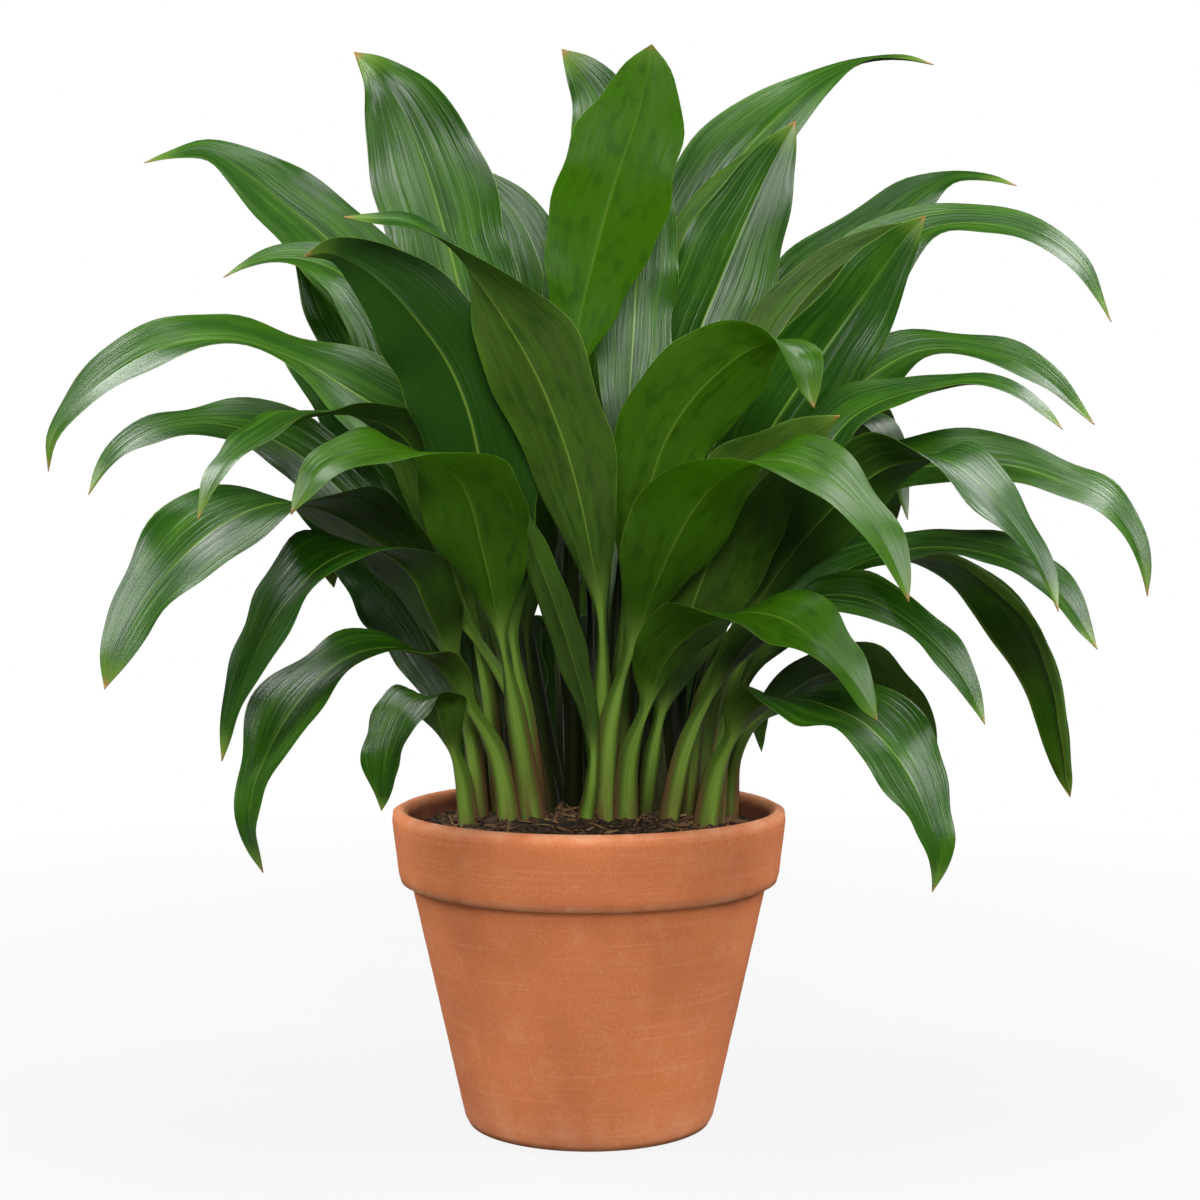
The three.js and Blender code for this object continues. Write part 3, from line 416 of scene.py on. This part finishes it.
# ---- Meshes ---------------------------------------------------------------------------------
def only(piece):
    """Leaves one object selected and active."""
    bpy.ops.object.select_all(action="DESELECT")
    piece.select_set(True)
    bpy.context.view_layer.objects.active = piece


def rowed_tube(name, around, rows):
    """A closed tube of unit radius: a cylinder, cut into rows along its length."""
    bpy.ops.object.select_all(action="DESELECT")
    bpy.ops.mesh.primitive_cylinder_add(vertices=around, radius=1, depth=1, end_fill_type="TRIFAN")
    tube = bpy.context.object
    tube.name = tube.data.name = name
    bpy.ops.object.mode_set(mode="EDIT")
    bpy.ops.mesh.select_mode(type="EDGE")
    bpy.ops.mesh.select_all(action="DESELECT")
    bpy.ops.object.mode_set(mode="OBJECT")
    points = tube.data.vertices
    for edge in tube.data.edges:
        a, b = (points[i].co for i in edge.vertices)
        edge.select = abs(a.z - b.z) > 0.5
    bpy.ops.object.mode_set(mode="EDIT")
    bpy.ops.mesh.subdivide(number_cuts=rows - 2)
    bpy.ops.mesh.select_mode(type="VERT")
    bpy.ops.object.mode_set(mode="OBJECT")
    return tube


def read_points(mesh):
    """The points of a mesh as an array."""
    points = np.empty(len(mesh.vertices) * 3)
    mesh.vertices.foreach_get("co", points)
    return points.reshape(-1, 3)


def tube_places(mesh):
    """For each point of a rowed tube: its turn from 0 to 1, its share of the length, and its radius."""
    points = read_points(mesh)
    turn = np.arctan2(points[:, 1], points[:, 0]) / (2 * math.pi) % 1
    return turn, points[:, 2] + 0.5, np.hypot(points[:, 0], points[:, 1])


def move_points(mesh, points):
    """Puts the points of a mesh where they belong."""
    mesh.vertices.foreach_set("co", points.ravel())
    mesh.update()


def mark_points(mesh, name, values):
    """Keeps a value for each point of a mesh, for its material to read."""
    mark = mesh.attributes.new(name, "FLOAT", "POINT")
    mark.data.foreach_set("value", np.broadcast_to(values, len(mesh.vertices)).astype(np.float32))


def finish_piece(piece, nodes, material=None):
    """Smooths a piece, gives it its material, and ties it to the frame."""
    only(piece)
    bpy.ops.object.shade_smooth()
    if material:
        piece.data.materials.clear()
        piece.data.materials.append(material)
    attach(piece, "root")
    if nodes:
        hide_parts(*nodes)


# ---- Pot ------------------------------------------------------------------------------------
def arc(centre, radius, start, end, steps=6):
    """[radius, height] points of a rounded corner between two angles in degrees."""
    angles = np.radians(np.linspace(start, end, steps + 1))
    return [[centre[0] + radius * math.cos(a), centre[1] + radius * math.sin(a)] for a in angles]


def along_profile(profile, shares):
    """Reads a profile of [radius, height] points at shares of its length."""
    profile = np.array(profile)
    run = np.concatenate([[0], np.cumsum(np.hypot(*np.diff(profile, axis=0).T))])
    return [np.interp(shares * run[-1], run, column) for column in profile.T]


def pot_profile(pot):
    """The pot's section, from the middle of its base, up the outside and down to its inner floor."""
    rim, height = POT_HIGH.x, POT_HIGH.z
    mouth = rim - pot.wall
    neck = height - pot.collar_height
    foot_round, collar_round, lip_round, mouth_round = 4 * MM, 5 * MM, 5.5 * MM, 4.5 * MM
    return [
        [0, 0],
        *arc([pot.base_radius - foot_round, foot_round], foot_round, -90, -10),
        [pot.neck_radius - 0.6 * MM, neck - 3 * MM],
        *arc([pot.neck_radius + 1.6 * MM, neck - 1.6 * MM], 1.6 * MM, 180, 90, 3),
        *arc([pot.collar_foot_radius - collar_round, neck + collar_round], collar_round, -90, 0),
        *arc([rim - lip_round, height - lip_round], lip_round, 0, 90),
        *arc([mouth + mouth_round, height - mouth_round], mouth_round, 90, 180),
        [mouth - 3 * MM, neck + 16 * MM],
        [pot.neck_radius - pot.wall, neck - 4 * MM],
        [pot.base_radius - pot.wall, pot.floor + 6 * MM],
        [pot.base_radius - pot.wall - 6 * MM, pot.floor],
        [0, pot.floor],
    ]


class PLANT_OT_pot(bpy.types.Operator):
    """Turn the terracotta pot"""

    bl_idname = "plant.pot"
    bl_label = "Pot"

    def execute(self, context):
        pot = context.scene.plant.pot
        piece = rowed_tube("terracotta_pot", around=168, rows=190)
        turn, share, inward = tube_places(piece.data)
        radius, height = along_profile(pot_profile(pot), share)
        rim_share = share[np.argmax(height)]
        radius = np.where(inward < 0.5, 0, radius)
        angle = turn * 2 * math.pi
        outside = np.clip((height - 6 * MM) / (8 * MM), 0, 1) * (radius > pot.base_radius - pot.wall / 2)
        # a hand-turned pot's ridges are unevenly spaced, and it is a little out of round
        ridges = np.sin(height / pot.turning_spacing * 2 * math.pi + 1.5 * np.sin(height * 90))
        unround = 0.25 * MM * np.sin(2 * angle + 0.7) + 0.15 * MM * np.sin(3 * angle + height * 20)
        radius = radius + outside * (pot.turning_height * 0.5 * ridges + unround)
        radius = np.minimum(radius, POT_HIGH.x)
        move_points(piece.data, np.stack([radius * np.cos(angle), radius * np.sin(angle), height], axis=1))
        mark_points(piece.data, "inside", share > rim_share)
        finish_piece(piece, ["pot"], terracotta(pot))
        return {"FINISHED"}


# ---- Soil -----------------------------------------------------------------------------------
def soil_level(soil, x, y):
    """Height of the soil's surface at a place, with its mound and clods."""
    wall = SOIL_HIGH.z - soil.mound - 2 * MM
    slope = min(max((110 * MM - math.hypot(x, y)) / (70 * MM), 0), 1)
    mound = soil.mound * slope * slope * (3 - 2 * slope)
    clods = noise.fractal(Vector((x, y, 0)) / (16 * MM), 0.8, 2.1, 4)
    return wall + mound + soil.lump_height * clods * 0.55


class PLANT_OT_soil(bpy.types.Operator):
    """Fill the pot with soil"""

    bl_idname = "plant.soil"
    bl_label = "Soil"

    def execute(self, context):
        soil = context.scene.plant.soil
        piece = rowed_tube("potting_soil_bed", around=150, rows=96)
        turn, share, inward = tube_places(piece.data)
        wall, top = SOIL_HIGH.x, SOIL_HIGH.z
        foot = [wall * 0.6, SOIL_LOW.z]
        profile = [[0, SOIL_LOW.z], foot, [wall, top - 30 * MM], [wall, top], [0, top]]
        radius, height = along_profile(profile, share)
        radius = np.where(inward < 0.5, 0, radius)
        angle = turn * 2 * math.pi
        x, y = radius * np.cos(angle), radius * np.sin(angle)
        surface = np.array([soil_level(soil, a, b) for a, b in zip(x, y)])
        height = np.where(height > top - 1e-6, surface, np.minimum(height, surface))
        move_points(piece.data, np.stack([x, y, height], axis=1))
        finish_piece(piece, ["soil"], peat(soil))
        return {"FINISHED"}


def loose_shape(kind):
    """A small bit of litter, one unit long: a crumb, a flake or a fibre."""
    bpy.ops.object.select_all(action="DESELECT")
    if kind == "crumb":
        bpy.ops.mesh.primitive_ico_sphere_add(subdivisions=1, radius=0.5)
        bpy.ops.object.mode_set(mode="EDIT")
        bpy.ops.transform.vertex_random(offset=0.18, seed=3)
    elif kind == "flake":
        bpy.ops.mesh.primitive_cube_add(size=1)
        bpy.ops.object.mode_set(mode="EDIT")
        bpy.ops.transform.resize(value=(1, 0.5, 0.16))
        bpy.ops.mesh.subdivide(number_cuts=1)
        bpy.ops.transform.vertex_random(offset=0.07, seed=5)
    else:
        bpy.ops.mesh.primitive_cylinder_add(vertices=5, radius=0.03, depth=1, end_fill_type="TRIFAN")
        bpy.ops.object.mode_set(mode="EDIT")
        bpy.ops.mesh.subdivide(number_cuts=2)
        bpy.ops.transform.vertex_random(offset=0.05, seed=8)
    bpy.ops.object.mode_set(mode="OBJECT")
    shape = bpy.context.object
    shape.name = kind
    if kind == "fibre":
        shape.data.transform(Matrix.Rotation(math.pi / 2, 4, "Y"))
    return shape


class PLANT_OT_litter(bpy.types.Operator):
    """Scatter crumbs, bark and fibres on the soil"""

    bl_idname = "plant.litter"
    bl_label = "Litter"

    def execute(self, context):
        soil = context.scene.plant.soil
        chance = random.Random(soil.seed)
        finishes = {
            "crumb": loose_bits("peat_crumbs", soil.dry_peat, soil.peat, 1.5 * MM),
            "flake": loose_bits("bark_flakes", soil.bark, soil.dark_bark, 1.2 * MM),
            "fibre": loose_bits("straw_fibres", soil.straw, soil.bark, 1.0 * MM),
        }
        # how many there are of each, and the smallest and the largest in millimetres
        amounts = {
            "crumb": (soil.crumbs, 2.5, 6),
            "flake": (soil.flakes, 4, 11),
            "fibre": (soil.fibres, 8, 20),
        }
        reach = SOIL_HIGH.x - 3 * MM
        bits = []
        for kind, (number, smallest, largest) in amounts.items():
            shape = loose_shape(kind)
            shape.data.materials.append(finishes[kind])
            for _ in range(number):
                size = chance.uniform(smallest, largest) * MM
                distance = (reach - size / 2) * math.sqrt(chance.random())
                direction = chance.uniform(0, 2 * math.pi)
                x, y = distance * math.cos(direction), distance * math.sin(direction)
                bit = shape.copy()
                bit.data = shape.data.copy()
                lean = Matrix.Rotation(chance.gauss(0, 0.35), 4, "X")
                roll = Matrix.Rotation(chance.gauss(0, 0.3), 4, "Y")
                turned = Matrix.Rotation(chance.uniform(0, 2 * math.pi), 4, "Z") @ (lean @ roll)
                place = Vector((x, y, soil_level(soil, x, y) + 0.08 * size))
                bit.data.transform(Matrix.LocRotScale(place, turned.to_quaternion(), Vector((size,) * 3)))
                mark_points(bit.data, "shade", chance.random())
                context.collection.objects.link(bit)
                bits.append(bit)
            bpy.data.objects.remove(shape)
        only(bits[0])
        for bit in bits:
            bit.select_set(True)
        bpy.ops.object.join()
        piece = context.object
        piece.name = piece.data.name = "soil_litter"
        finish_piece(piece, [])
        return {"FINISHED"}


# ---- Leaves ---------------------------------------------------------------------------------
# The corners of a leaf's section in order around it.
SECTION_CORNERS = 8
LEFT, OVER_LEFT, GROOVE, OVER_RIGHT, RIGHT, UNDER_RIGHT, KEEL, UNDER_LEFT = range(SECTION_CORNERS)
# How far a section's groove lies over its middle and its keel under it, for a stalk and for a blade,
# as each leaf's solid has them.
STALK_GROOVE, STALK_KEEL = 0.4 * MM, 4.2 * MM
BLADE_GROOVE, BLADE_KEEL = 0.6 * MM, 1.6 * MM
STALK_DEPTH = STALK_GROOVE + STALK_KEEL
BLADE_DEPTH = BLADE_GROOVE + BLADE_KEEL
LIP_RISE = 9 * MM  # the lips of a stalk's channel rise by up to 4/27 of this
STALK_ROUND = 2.4  # how full a stalk's section is, where 2 is an ellipse
EDGE_ROUND = 8  # how late a blade thins out towards its edges
BLADE_RING = 3  # the ring of the solid where the blade starts
TIP_CROWDING = 1.15  # over 1, rows of points draw together towards the tip
# The waves of a blade's outline, its edges' ripple and its slow swell, in radians from its start to
# its tip. Each goes by the leaf's own phase, so no two leaves wave alike.
OUTLINE_WAVES = (19, 31)
RIPPLE_WAVES = (23, 41)
SWELL_WAVES = 15
PHASE_STEP = 1.3  # between one leaf's phase and the next one's
SIDE_STEP = 1.9  # between the phases of a leaf's two sides
FULL_WAVE_REACH = 30 * MM  # half width at which a blade waves fully
# The look of little light inside the clump: the largest share of darker green on stalks and blades.
STALK_SHADE = 0.97
BLADE_SHADE = 0.8
# Stalks are shaded inside an upright elliptic column: its middle, half its width and depth, the
# shares of the way in at which shade starts and is full, and the height at which it ends.
CLUMP_MIDDLE = (5 * MM, 50 * MM)
CLUMP_REACH = (125 * MM, 100 * MM)
STALK_SHADE_SPAN = (0.175, 0.425)
SHADE_TOP = 520 * MM
# Blades are shaded around the heart of the clump: fully within the first share of its reach, and not
# at all past the second.
CLUMP_HEART = np.array((0, 40, 330)) * MM
HEART_REACH = np.array((230, 190, 230)) * MM
BLADE_SHADE_SPAN = (7 / 32, 27 / 32)
# The age of the leaves that aren't of middle age, which is 0: from -1 for young ones, which are a
# fresher green and let more light through, to 1 for the oldest and darkest.
AGES = {
    "leaf_middle_3": -0.9,
    "leaf_left_1": -0.8,
    "leaf_right_1": -0.7,
    "leaf_right_2": -0.7,
    "leaf_middle_11": -0.5,
    "leaf_right_18": -0.5,
    "leaf_middle_5": -0.4,
    "leaf_left_11": -0.3,
    "leaf_middle_12": -0.2,
    "leaf_left_3": -0.2,
    "leaf_right_13": 0.3,
    "leaf_left_4": 0.3,
    "leaf_right_6": 0.5,
    "leaf_left_13": 0.6,
    "leaf_left_9": 0.8,
    "leaf_right_8": 0.8,
    "leaf_left_10": 1.0,
    "leaf_back_9": 1.0,
    "leaf_back_10": 1.0,
    "leaf_back_11": 1.0,
}


def merged_solid(node):
    """The corners of a solid, each once, and its triangles as numbers of corners."""
    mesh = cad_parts[node].data
    numbers, corners, of_vertex = {}, [], []
    for vertex in mesh.vertices:
        key = tuple(round(c / (0.002 * MM)) for c in vertex.co)
        if key not in numbers:
            numbers[key] = len(corners)
            corners.append(vertex.co.copy())
        of_vertex.append(numbers[key])
    triangles = [[of_vertex[i] for i in face.vertices] for face in mesh.polygons]
    return np.array(corners), triangles


def leaf_rings(node):
    """The rings of eight corners along a leaf's solid, from its foot, and its tip."""
    corners, triangles = merged_solid(node)
    near = [set() for _ in corners]
    for triangle in triangles:
        for i in triangle:
            near[i].update(triangle)
    ends = [i for i, others in enumerate(near) if len(others) == SECTION_CORNERS + 1]
    spread = {i: max(np.linalg.norm(corners[j] - corners[i]) for j in near[i]) for i in ends}
    foot = min((i for i in ends if corners[i][2] < SOIL_HIGH.z), key=spread.get)
    level = {foot: 0}
    front = [foot]
    while front:
        front = sorted({j for i in front for j in near[i]} - set(level))
        level.update({i: max(level.values()) + 1 for i in front})
    before = {}  # the corner that comes before each one around its ring
    for triangle in triangles:
        for a, b, c in (triangle, triangle[1:] + triangle[:1], triangle[2:] + triangle[:2]):
            if level[a] == level[b] == level[c] + 1:
                before[a] = b
    last = max(level.values())
    rings = []
    for number in range(1, last):
        members = [i for i in level if level[i] == number]
        if number == 1:
            start = min(members, key=lambda i: np.linalg.norm(corners[i] - corners[foot]))
        else:
            start = members[0]
        ring = [start]
        while len(ring) < SECTION_CORNERS:
            ring.append(before[ring[-1]])
        ring = ring[::-1]
        places = corners[ring]
        if number == 1:
            places = np.roll(places, 3, axis=0)  # the nearest corner is the groove, the third one
        else:
            ahead = places - places.mean(axis=0)
            behind = rings[-1] - rings[-1].mean(axis=0)
            turns = [np.roll(ahead, k, axis=0) for k in range(SECTION_CORNERS)]
            fits = [np.sum((turned - behind) ** 2) for turned in turns]
            places = np.roll(places, int(np.argmin(fits)), axis=0)
        rings.append(places)
    tip = next(i for i in level if level[i] == last)
    return np.array(rings), corners[tip]


def flowing(knots, values, at):
    """A smooth curve through values at knots, read at other places."""
    slopes = np.gradient(values, knots, axis=0)
    i = np.clip(np.searchsorted(knots, at, side="right") - 1, 0, len(knots) - 2)
    step = (knots[i + 1] - knots[i])[:, None]
    t = (at - knots[i])[:, None] / step
    start = (1 + 2 * t) * (1 - t) ** 2 * values[i] + t * (1 - t) ** 2 * slopes[i] * step
    return start + t * t * (3 - 2 * t) * values[i + 1] + t * t * (t - 1) * slopes[i + 1] * step


def across_leaf(turn):
    """Where a point of a tube lies across a leaf, from -1 to 1, and whether it is on the upper side.
    Points crowd at the midrib and at the edges, where the section bends most."""
    upper = turn >= 0.5
    way = np.where(upper, turn * 4 - 3, 1 - turn * 4)
    return np.sign(way) * (1 - np.cos(np.pi * np.abs(way))) / 2, upper


def leaf_points(node, leaf, turn, share, inward, phase):
    """The points of a fine leaf, and how far along it each lies: 0 where the blade starts, 1 at the tip."""
    rings, tip = leaf_rings(node)
    left, right = rings[:, LEFT], rings[:, RIGHT]
    groove, keel = rings[:, GROOVE], rings[:, KEEL]
    left_middle = (rings[:, OVER_LEFT] + rings[:, UNDER_LEFT]) / 2
    right_middle = (rings[:, OVER_RIGHT] + rings[:, UNDER_RIGHT]) / 2
    depth = np.linalg.norm(groove - keel, axis=1)
    upper = (groove - keel) / depth[:, None]
    leafy = np.clip((STALK_DEPTH - depth) / (STALK_DEPTH - BLADE_DEPTH), 0, 1)
    centre = groove - upper * (STALK_GROOVE + (BLADE_GROOVE - STALK_GROOVE) * leafy)[:, None]

    lines = [np.vstack([line, tip]) for line in (left, left_middle, centre, right_middle, right)]
    steps = np.linalg.norm(np.diff(lines[2], axis=0), axis=1)
    knots = np.concatenate([[0], np.cumsum(steps)])
    at = knots[-1] * (1 - (1 - share) ** TIP_CROWDING)
    left, left_middle, centre, right_middle, right = (flowing(knots, line, at) for line in lines)
    upper = flowing(knots, np.vstack([upper, upper[-1:]]), at)
    upper /= np.linalg.norm(upper, axis=1)[:, None]
    leafy = np.clip(flowing(knots, np.append(leafy, 1)[:, None], at)[:, 0], 0, 1)
    blade_start = knots[BLADE_RING]
    blade = (at - blade_start) / (knots[-1] - blade_start)
    along = np.where(blade > 0, blade, (at - blade_start) / blade_start)

    u, top = across_leaf(turn)
    t = np.abs(u)
    side_middle = np.where(u[:, None] < 0, left_middle, right_middle)
    side_edge = np.where(u[:, None] < 0, left, right)
    half = np.linalg.norm(side_edge - centre, axis=1)
    weights = [(1 - 2 * t) * (1 - t), 4 * t * (1 - t), t * (2 * t - 1)]
    places = sum(w[:, None] * line for w, line in zip(weights, (centre, side_middle, side_edge)))

    # the outline strays over all the blade but its start and its tip
    stray = leaf.wander * t * np.clip(blade * 6, 0, 1) * np.clip((1 - blade) * 5, 0, 1)
    long_wave = np.sin(blade * OUTLINE_WAVES[0] + phase * 1.7 + u * 0.8)
    short_wave = np.sin(blade * OUTLINE_WAVES[1] - phase + np.sign(u))
    stray = stray * (long_wave + short_wave)
    places = places + (side_edge - centre) * stray[:, None]
    x = t * half
    taper = np.sqrt(np.clip(1 - blade, 0, 1))
    edge_round = np.sqrt(1 - t**EDGE_ROUND)
    rib = np.exp(-((x / leaf.midrib_width) ** 2)) * taper
    blade_top = leaf.blade_thickness / 2 * edge_round - leaf.groove_depth * rib
    blade_under = leaf.blade_thickness / 2 * edge_round + leaf.midrib_height * rib
    stalk_top = STALK_GROOVE * (1 - t * t) + LIP_RISE * t * t * (1 - t)
    stalk_under = STALK_KEEL * np.sqrt(1 - t**STALK_ROUND)
    upper_lift = leafy * blade_top + (1 - leafy) * stalk_top
    under_lift = -leafy * blade_under - (1 - leafy) * stalk_under
    lift = np.where(top, upper_lift, under_lift)
    lift = np.where(t > 1 - 1e-9, 0, lift)

    spread = np.clip(half / FULL_WAVE_REACH, 0, 1) * leafy
    # pleats fade out at the midrib and at the edges
    fade = np.sin(math.pi * np.clip(t, 0, 1)) ** 0.5
    pleats = leaf.pleat_height * np.cos(2 * math.pi * leaf.pleats * t) * fade
    side = np.where(u < 0, 0, SIDE_STEP)
    long_ripple = np.sin(blade * RIPPLE_WAVES[0] + phase + side)
    short_ripple = np.sin(blade * RIPPLE_WAVES[1] + phase * 3 - side)
    ripple = leaf.ripple_height * t**3 * (long_ripple + 0.5 * short_ripple)
    swell = leaf.swell_height * t * (1.6 - t) * np.sin(blade * SWELL_WAVES + phase * 2 + side * 1.7)
    lift = lift + spread * (pleats + ripple + swell)
    lift = np.where(inward < 0.5, 0, lift)
    places = np.where(inward[:, None] < 0.5, centre, places)
    return places + upper * lift[:, None], along


def shade_share(places, along):
    """The share of darker green at a leaf's points, which stands in for the little light inside the clump:
    most on the stalks deep in it, and less on the blades around its heart."""
    x, y, z = places.T
    (middle_x, middle_y), (reach_x, reach_y) = CLUMP_MIDDLE, CLUMP_REACH
    inward = 1 - np.hypot((x - middle_x) / reach_x, (y - middle_y) / reach_y)
    low = (SHADE_TOP - z) / (SHADE_TOP - SOIL_HIGH.z)
    stalks = np.interp(inward, STALK_SHADE_SPAN, (0, STALK_SHADE)) * np.interp(low, (0, 1 / 3), (0, 1))
    off_heart = np.linalg.norm((places - CLUMP_HEART) / HEART_REACH, axis=1)
    blades = np.interp(off_heart, BLADE_SHADE_SPAN, (BLADE_SHADE, 0)) * np.interp(along, (0, 1 / 8), (0, 1))
    return np.maximum(stalks, blades)


class PLANT_OT_leaves(bpy.types.Operator):
    """Grow a fine leaf around each leaf's solid"""

    bl_idname = "plant.leaves"
    bl_label = "Leaves"

    def execute(self, context):
        leaf = context.scene.plant.leaves
        model = rowed_tube("leaf_model", around=64, rows=76)
        turn, share, inward = tube_places(model.data)
        u, _ = across_leaf(turn)
        corner_points = np.empty(len(model.data.loops), dtype=int)
        model.data.loops.foreach_get("vertex_index", corner_points)
        model.data.materials.append(leaf_skin(leaf, above=True))
        model.data.materials.append(leaf_skin(leaf, above=False))
        for face in model.data.polygons:
            face.material_index = 0 if face.center.y < 0 else 1
        chance = random.Random(leaf.seed)
        for number, node in enumerate(LEAF_NODES):
            piece = model.copy()
            piece.data = model.data.copy()
            piece.name = piece.data.name = node.replace("leaf", "aspidistra", 1)
            context.collection.objects.link(piece)
            places, along = leaf_points(node, leaf, turn, share, inward, number * PHASE_STEP)
            move_points(piece.data, places)
            uv = np.stack([0.5 + u / 2, along], axis=1)[corner_points]
            piece.data.uv_layers.new(name="Leaf").data.foreach_set("uv", uv.ravel())
            mark_points(piece.data, "age", AGES.get(node, 0) + chance.uniform(-0.15, 0.15))
            mark_points(piece.data, "shift", chance.random())
            mark_points(piece.data, "shaded", shade_share(places, along))
            finish_piece(piece, [node])
        bpy.data.objects.remove(model)
        return {"FINISHED"}


# ---- Stage ----------------------------------------------------------------------------------
LAMP_TARGET = (0, 0, 0.42)
# Each lamp's place in metres, its width and height in metres, and its power in watts.
LAMPS = {
    "front_light": ((0.2, -2.4, 1.35), 1.2, 0.6, 53),
    "left_light": ((-1.9, -0.5, 1.3), 1.0, 0.8, 30),
    "right_light": ((1.9, -0.4, 1.3), 1.0, 0.8, 31),
    "back_left_light": ((-1.4, 0.9, 1.9), 0.7, 0.7, 22),
    "back_right_light": ((1.4, 0.9, 1.9), 0.7, 0.7, 22),
    "top_light": ((0, -0.2, 2.6), 1.1, 1.1, 28),
}
ROOM_LIGHT = 0.05  # the room's own light on the plant, where 1 is the white that the camera sees


def softbox(name, place, width, height, power):
    """A large lamp that faces the plant."""
    bpy.ops.object.light_add(type="AREA", location=place)
    lamp = bpy.context.object
    lamp.name = name
    lamp.rotation_euler = (Vector(LAMP_TARGET) - Vector(place)).to_track_quat("-Z", "Y").to_euler()
    lamp.data.shape = "RECTANGLE"
    lamp.data.size = width
    lamp.data.size_y = height
    lamp.data.energy = power


class PLANT_OT_stage(bpy.types.Operator):
    """Set up the floor, lights and camera"""

    bl_idname = "plant.stage"
    bl_label = "Stage"

    def execute(self, context):
        stage = context.scene.plant.stage
        bpy.ops.mesh.primitive_circle_add(vertices=96, radius=stage.floor_radius, fill_type="NGON")
        floor = context.object
        floor.name = "studio_floor"
        floor.data.materials.append(studio_floor(stage))

        for name, (place, width, height, power) in LAMPS.items():
            softbox(name, place, width, height, power)

        world = bpy.data.worlds.new("studio")
        world.use_nodes = True
        tree = world.node_tree
        tree.nodes.clear()
        # the room looks white, but gives only a dim light of its own, so the lamps shape the leaves
        seen = add(tree, "LightPath").outputs["Is Camera Ray"]
        brightness = add(tree, "MapRange", [seen, 0.0, 1.0, ROOM_LIGHT, 1.0])
        room = add(tree, "Background", {"Color": (1, 1, 1), "Strength": brightness})
        add(tree, "OutputWorld", [room])
        context.scene.world = world
        context.scene.view_settings.view_transform = "Standard"

        place = (stage.camera_side, -stage.camera_distance, stage.camera_height)
        bpy.ops.object.camera_add(location=place, rotation=(math.pi / 2 - stage.camera_tilt, 0, 0))
        camera = context.object
        camera.name = "front_camera"
        camera.data.lens = stage.camera_lens
        camera.data.sensor_width = 36
        camera.data.clip_end = 60
        context.scene.camera = camera
        return {"FINISHED"}


# ---- Panel ----------------------------------------------------------------------------------
class PLANT_PT_sidebar(bpy.types.Panel):
    """Builds the plant piece by piece"""

    bl_label = "Potted Plant"
    bl_idname = "PLANT_PT_sidebar"
    bl_space_type = "VIEW_3D"
    bl_region_type = "UI"
    bl_category = "Plant"

    def draw(self, context):
        for step in STEPS:
            self.layout.operator(step.bl_idname)
        for group in ("pot", "soil", "leaves", "stage"):
            box = self.layout.box()
            box.label(text=group.capitalize())
            settings = getattr(context.scene.plant, group)
            for name in settings.__annotations__:
                box.prop(settings, name)


STEPS = (PLANT_OT_stage, PLANT_OT_pot, PLANT_OT_soil, PLANT_OT_litter, PLANT_OT_leaves)
CLASSES = (
    PotSettings,
    SoilSettings,
    LeafSettings,
    StageSettings,
    PlantSettings,
    *STEPS,
    PLANT_PT_sidebar,
)


def register():
    for cls in CLASSES:
        bpy.utils.register_class(cls)
    bpy.types.Scene.plant = PointerProperty(type=PlantSettings)


def unregister():
    del bpy.types.Scene.plant
    for cls in reversed(CLASSES):
        bpy.utils.unregister_class(cls)


def main():
    register()
    bpy.ops.plant.stage()
    bpy.ops.plant.pot()
    bpy.ops.plant.soil()
    bpy.ops.plant.litter()
    bpy.ops.plant.leaves()


if __name__ == "__main__":
    main()
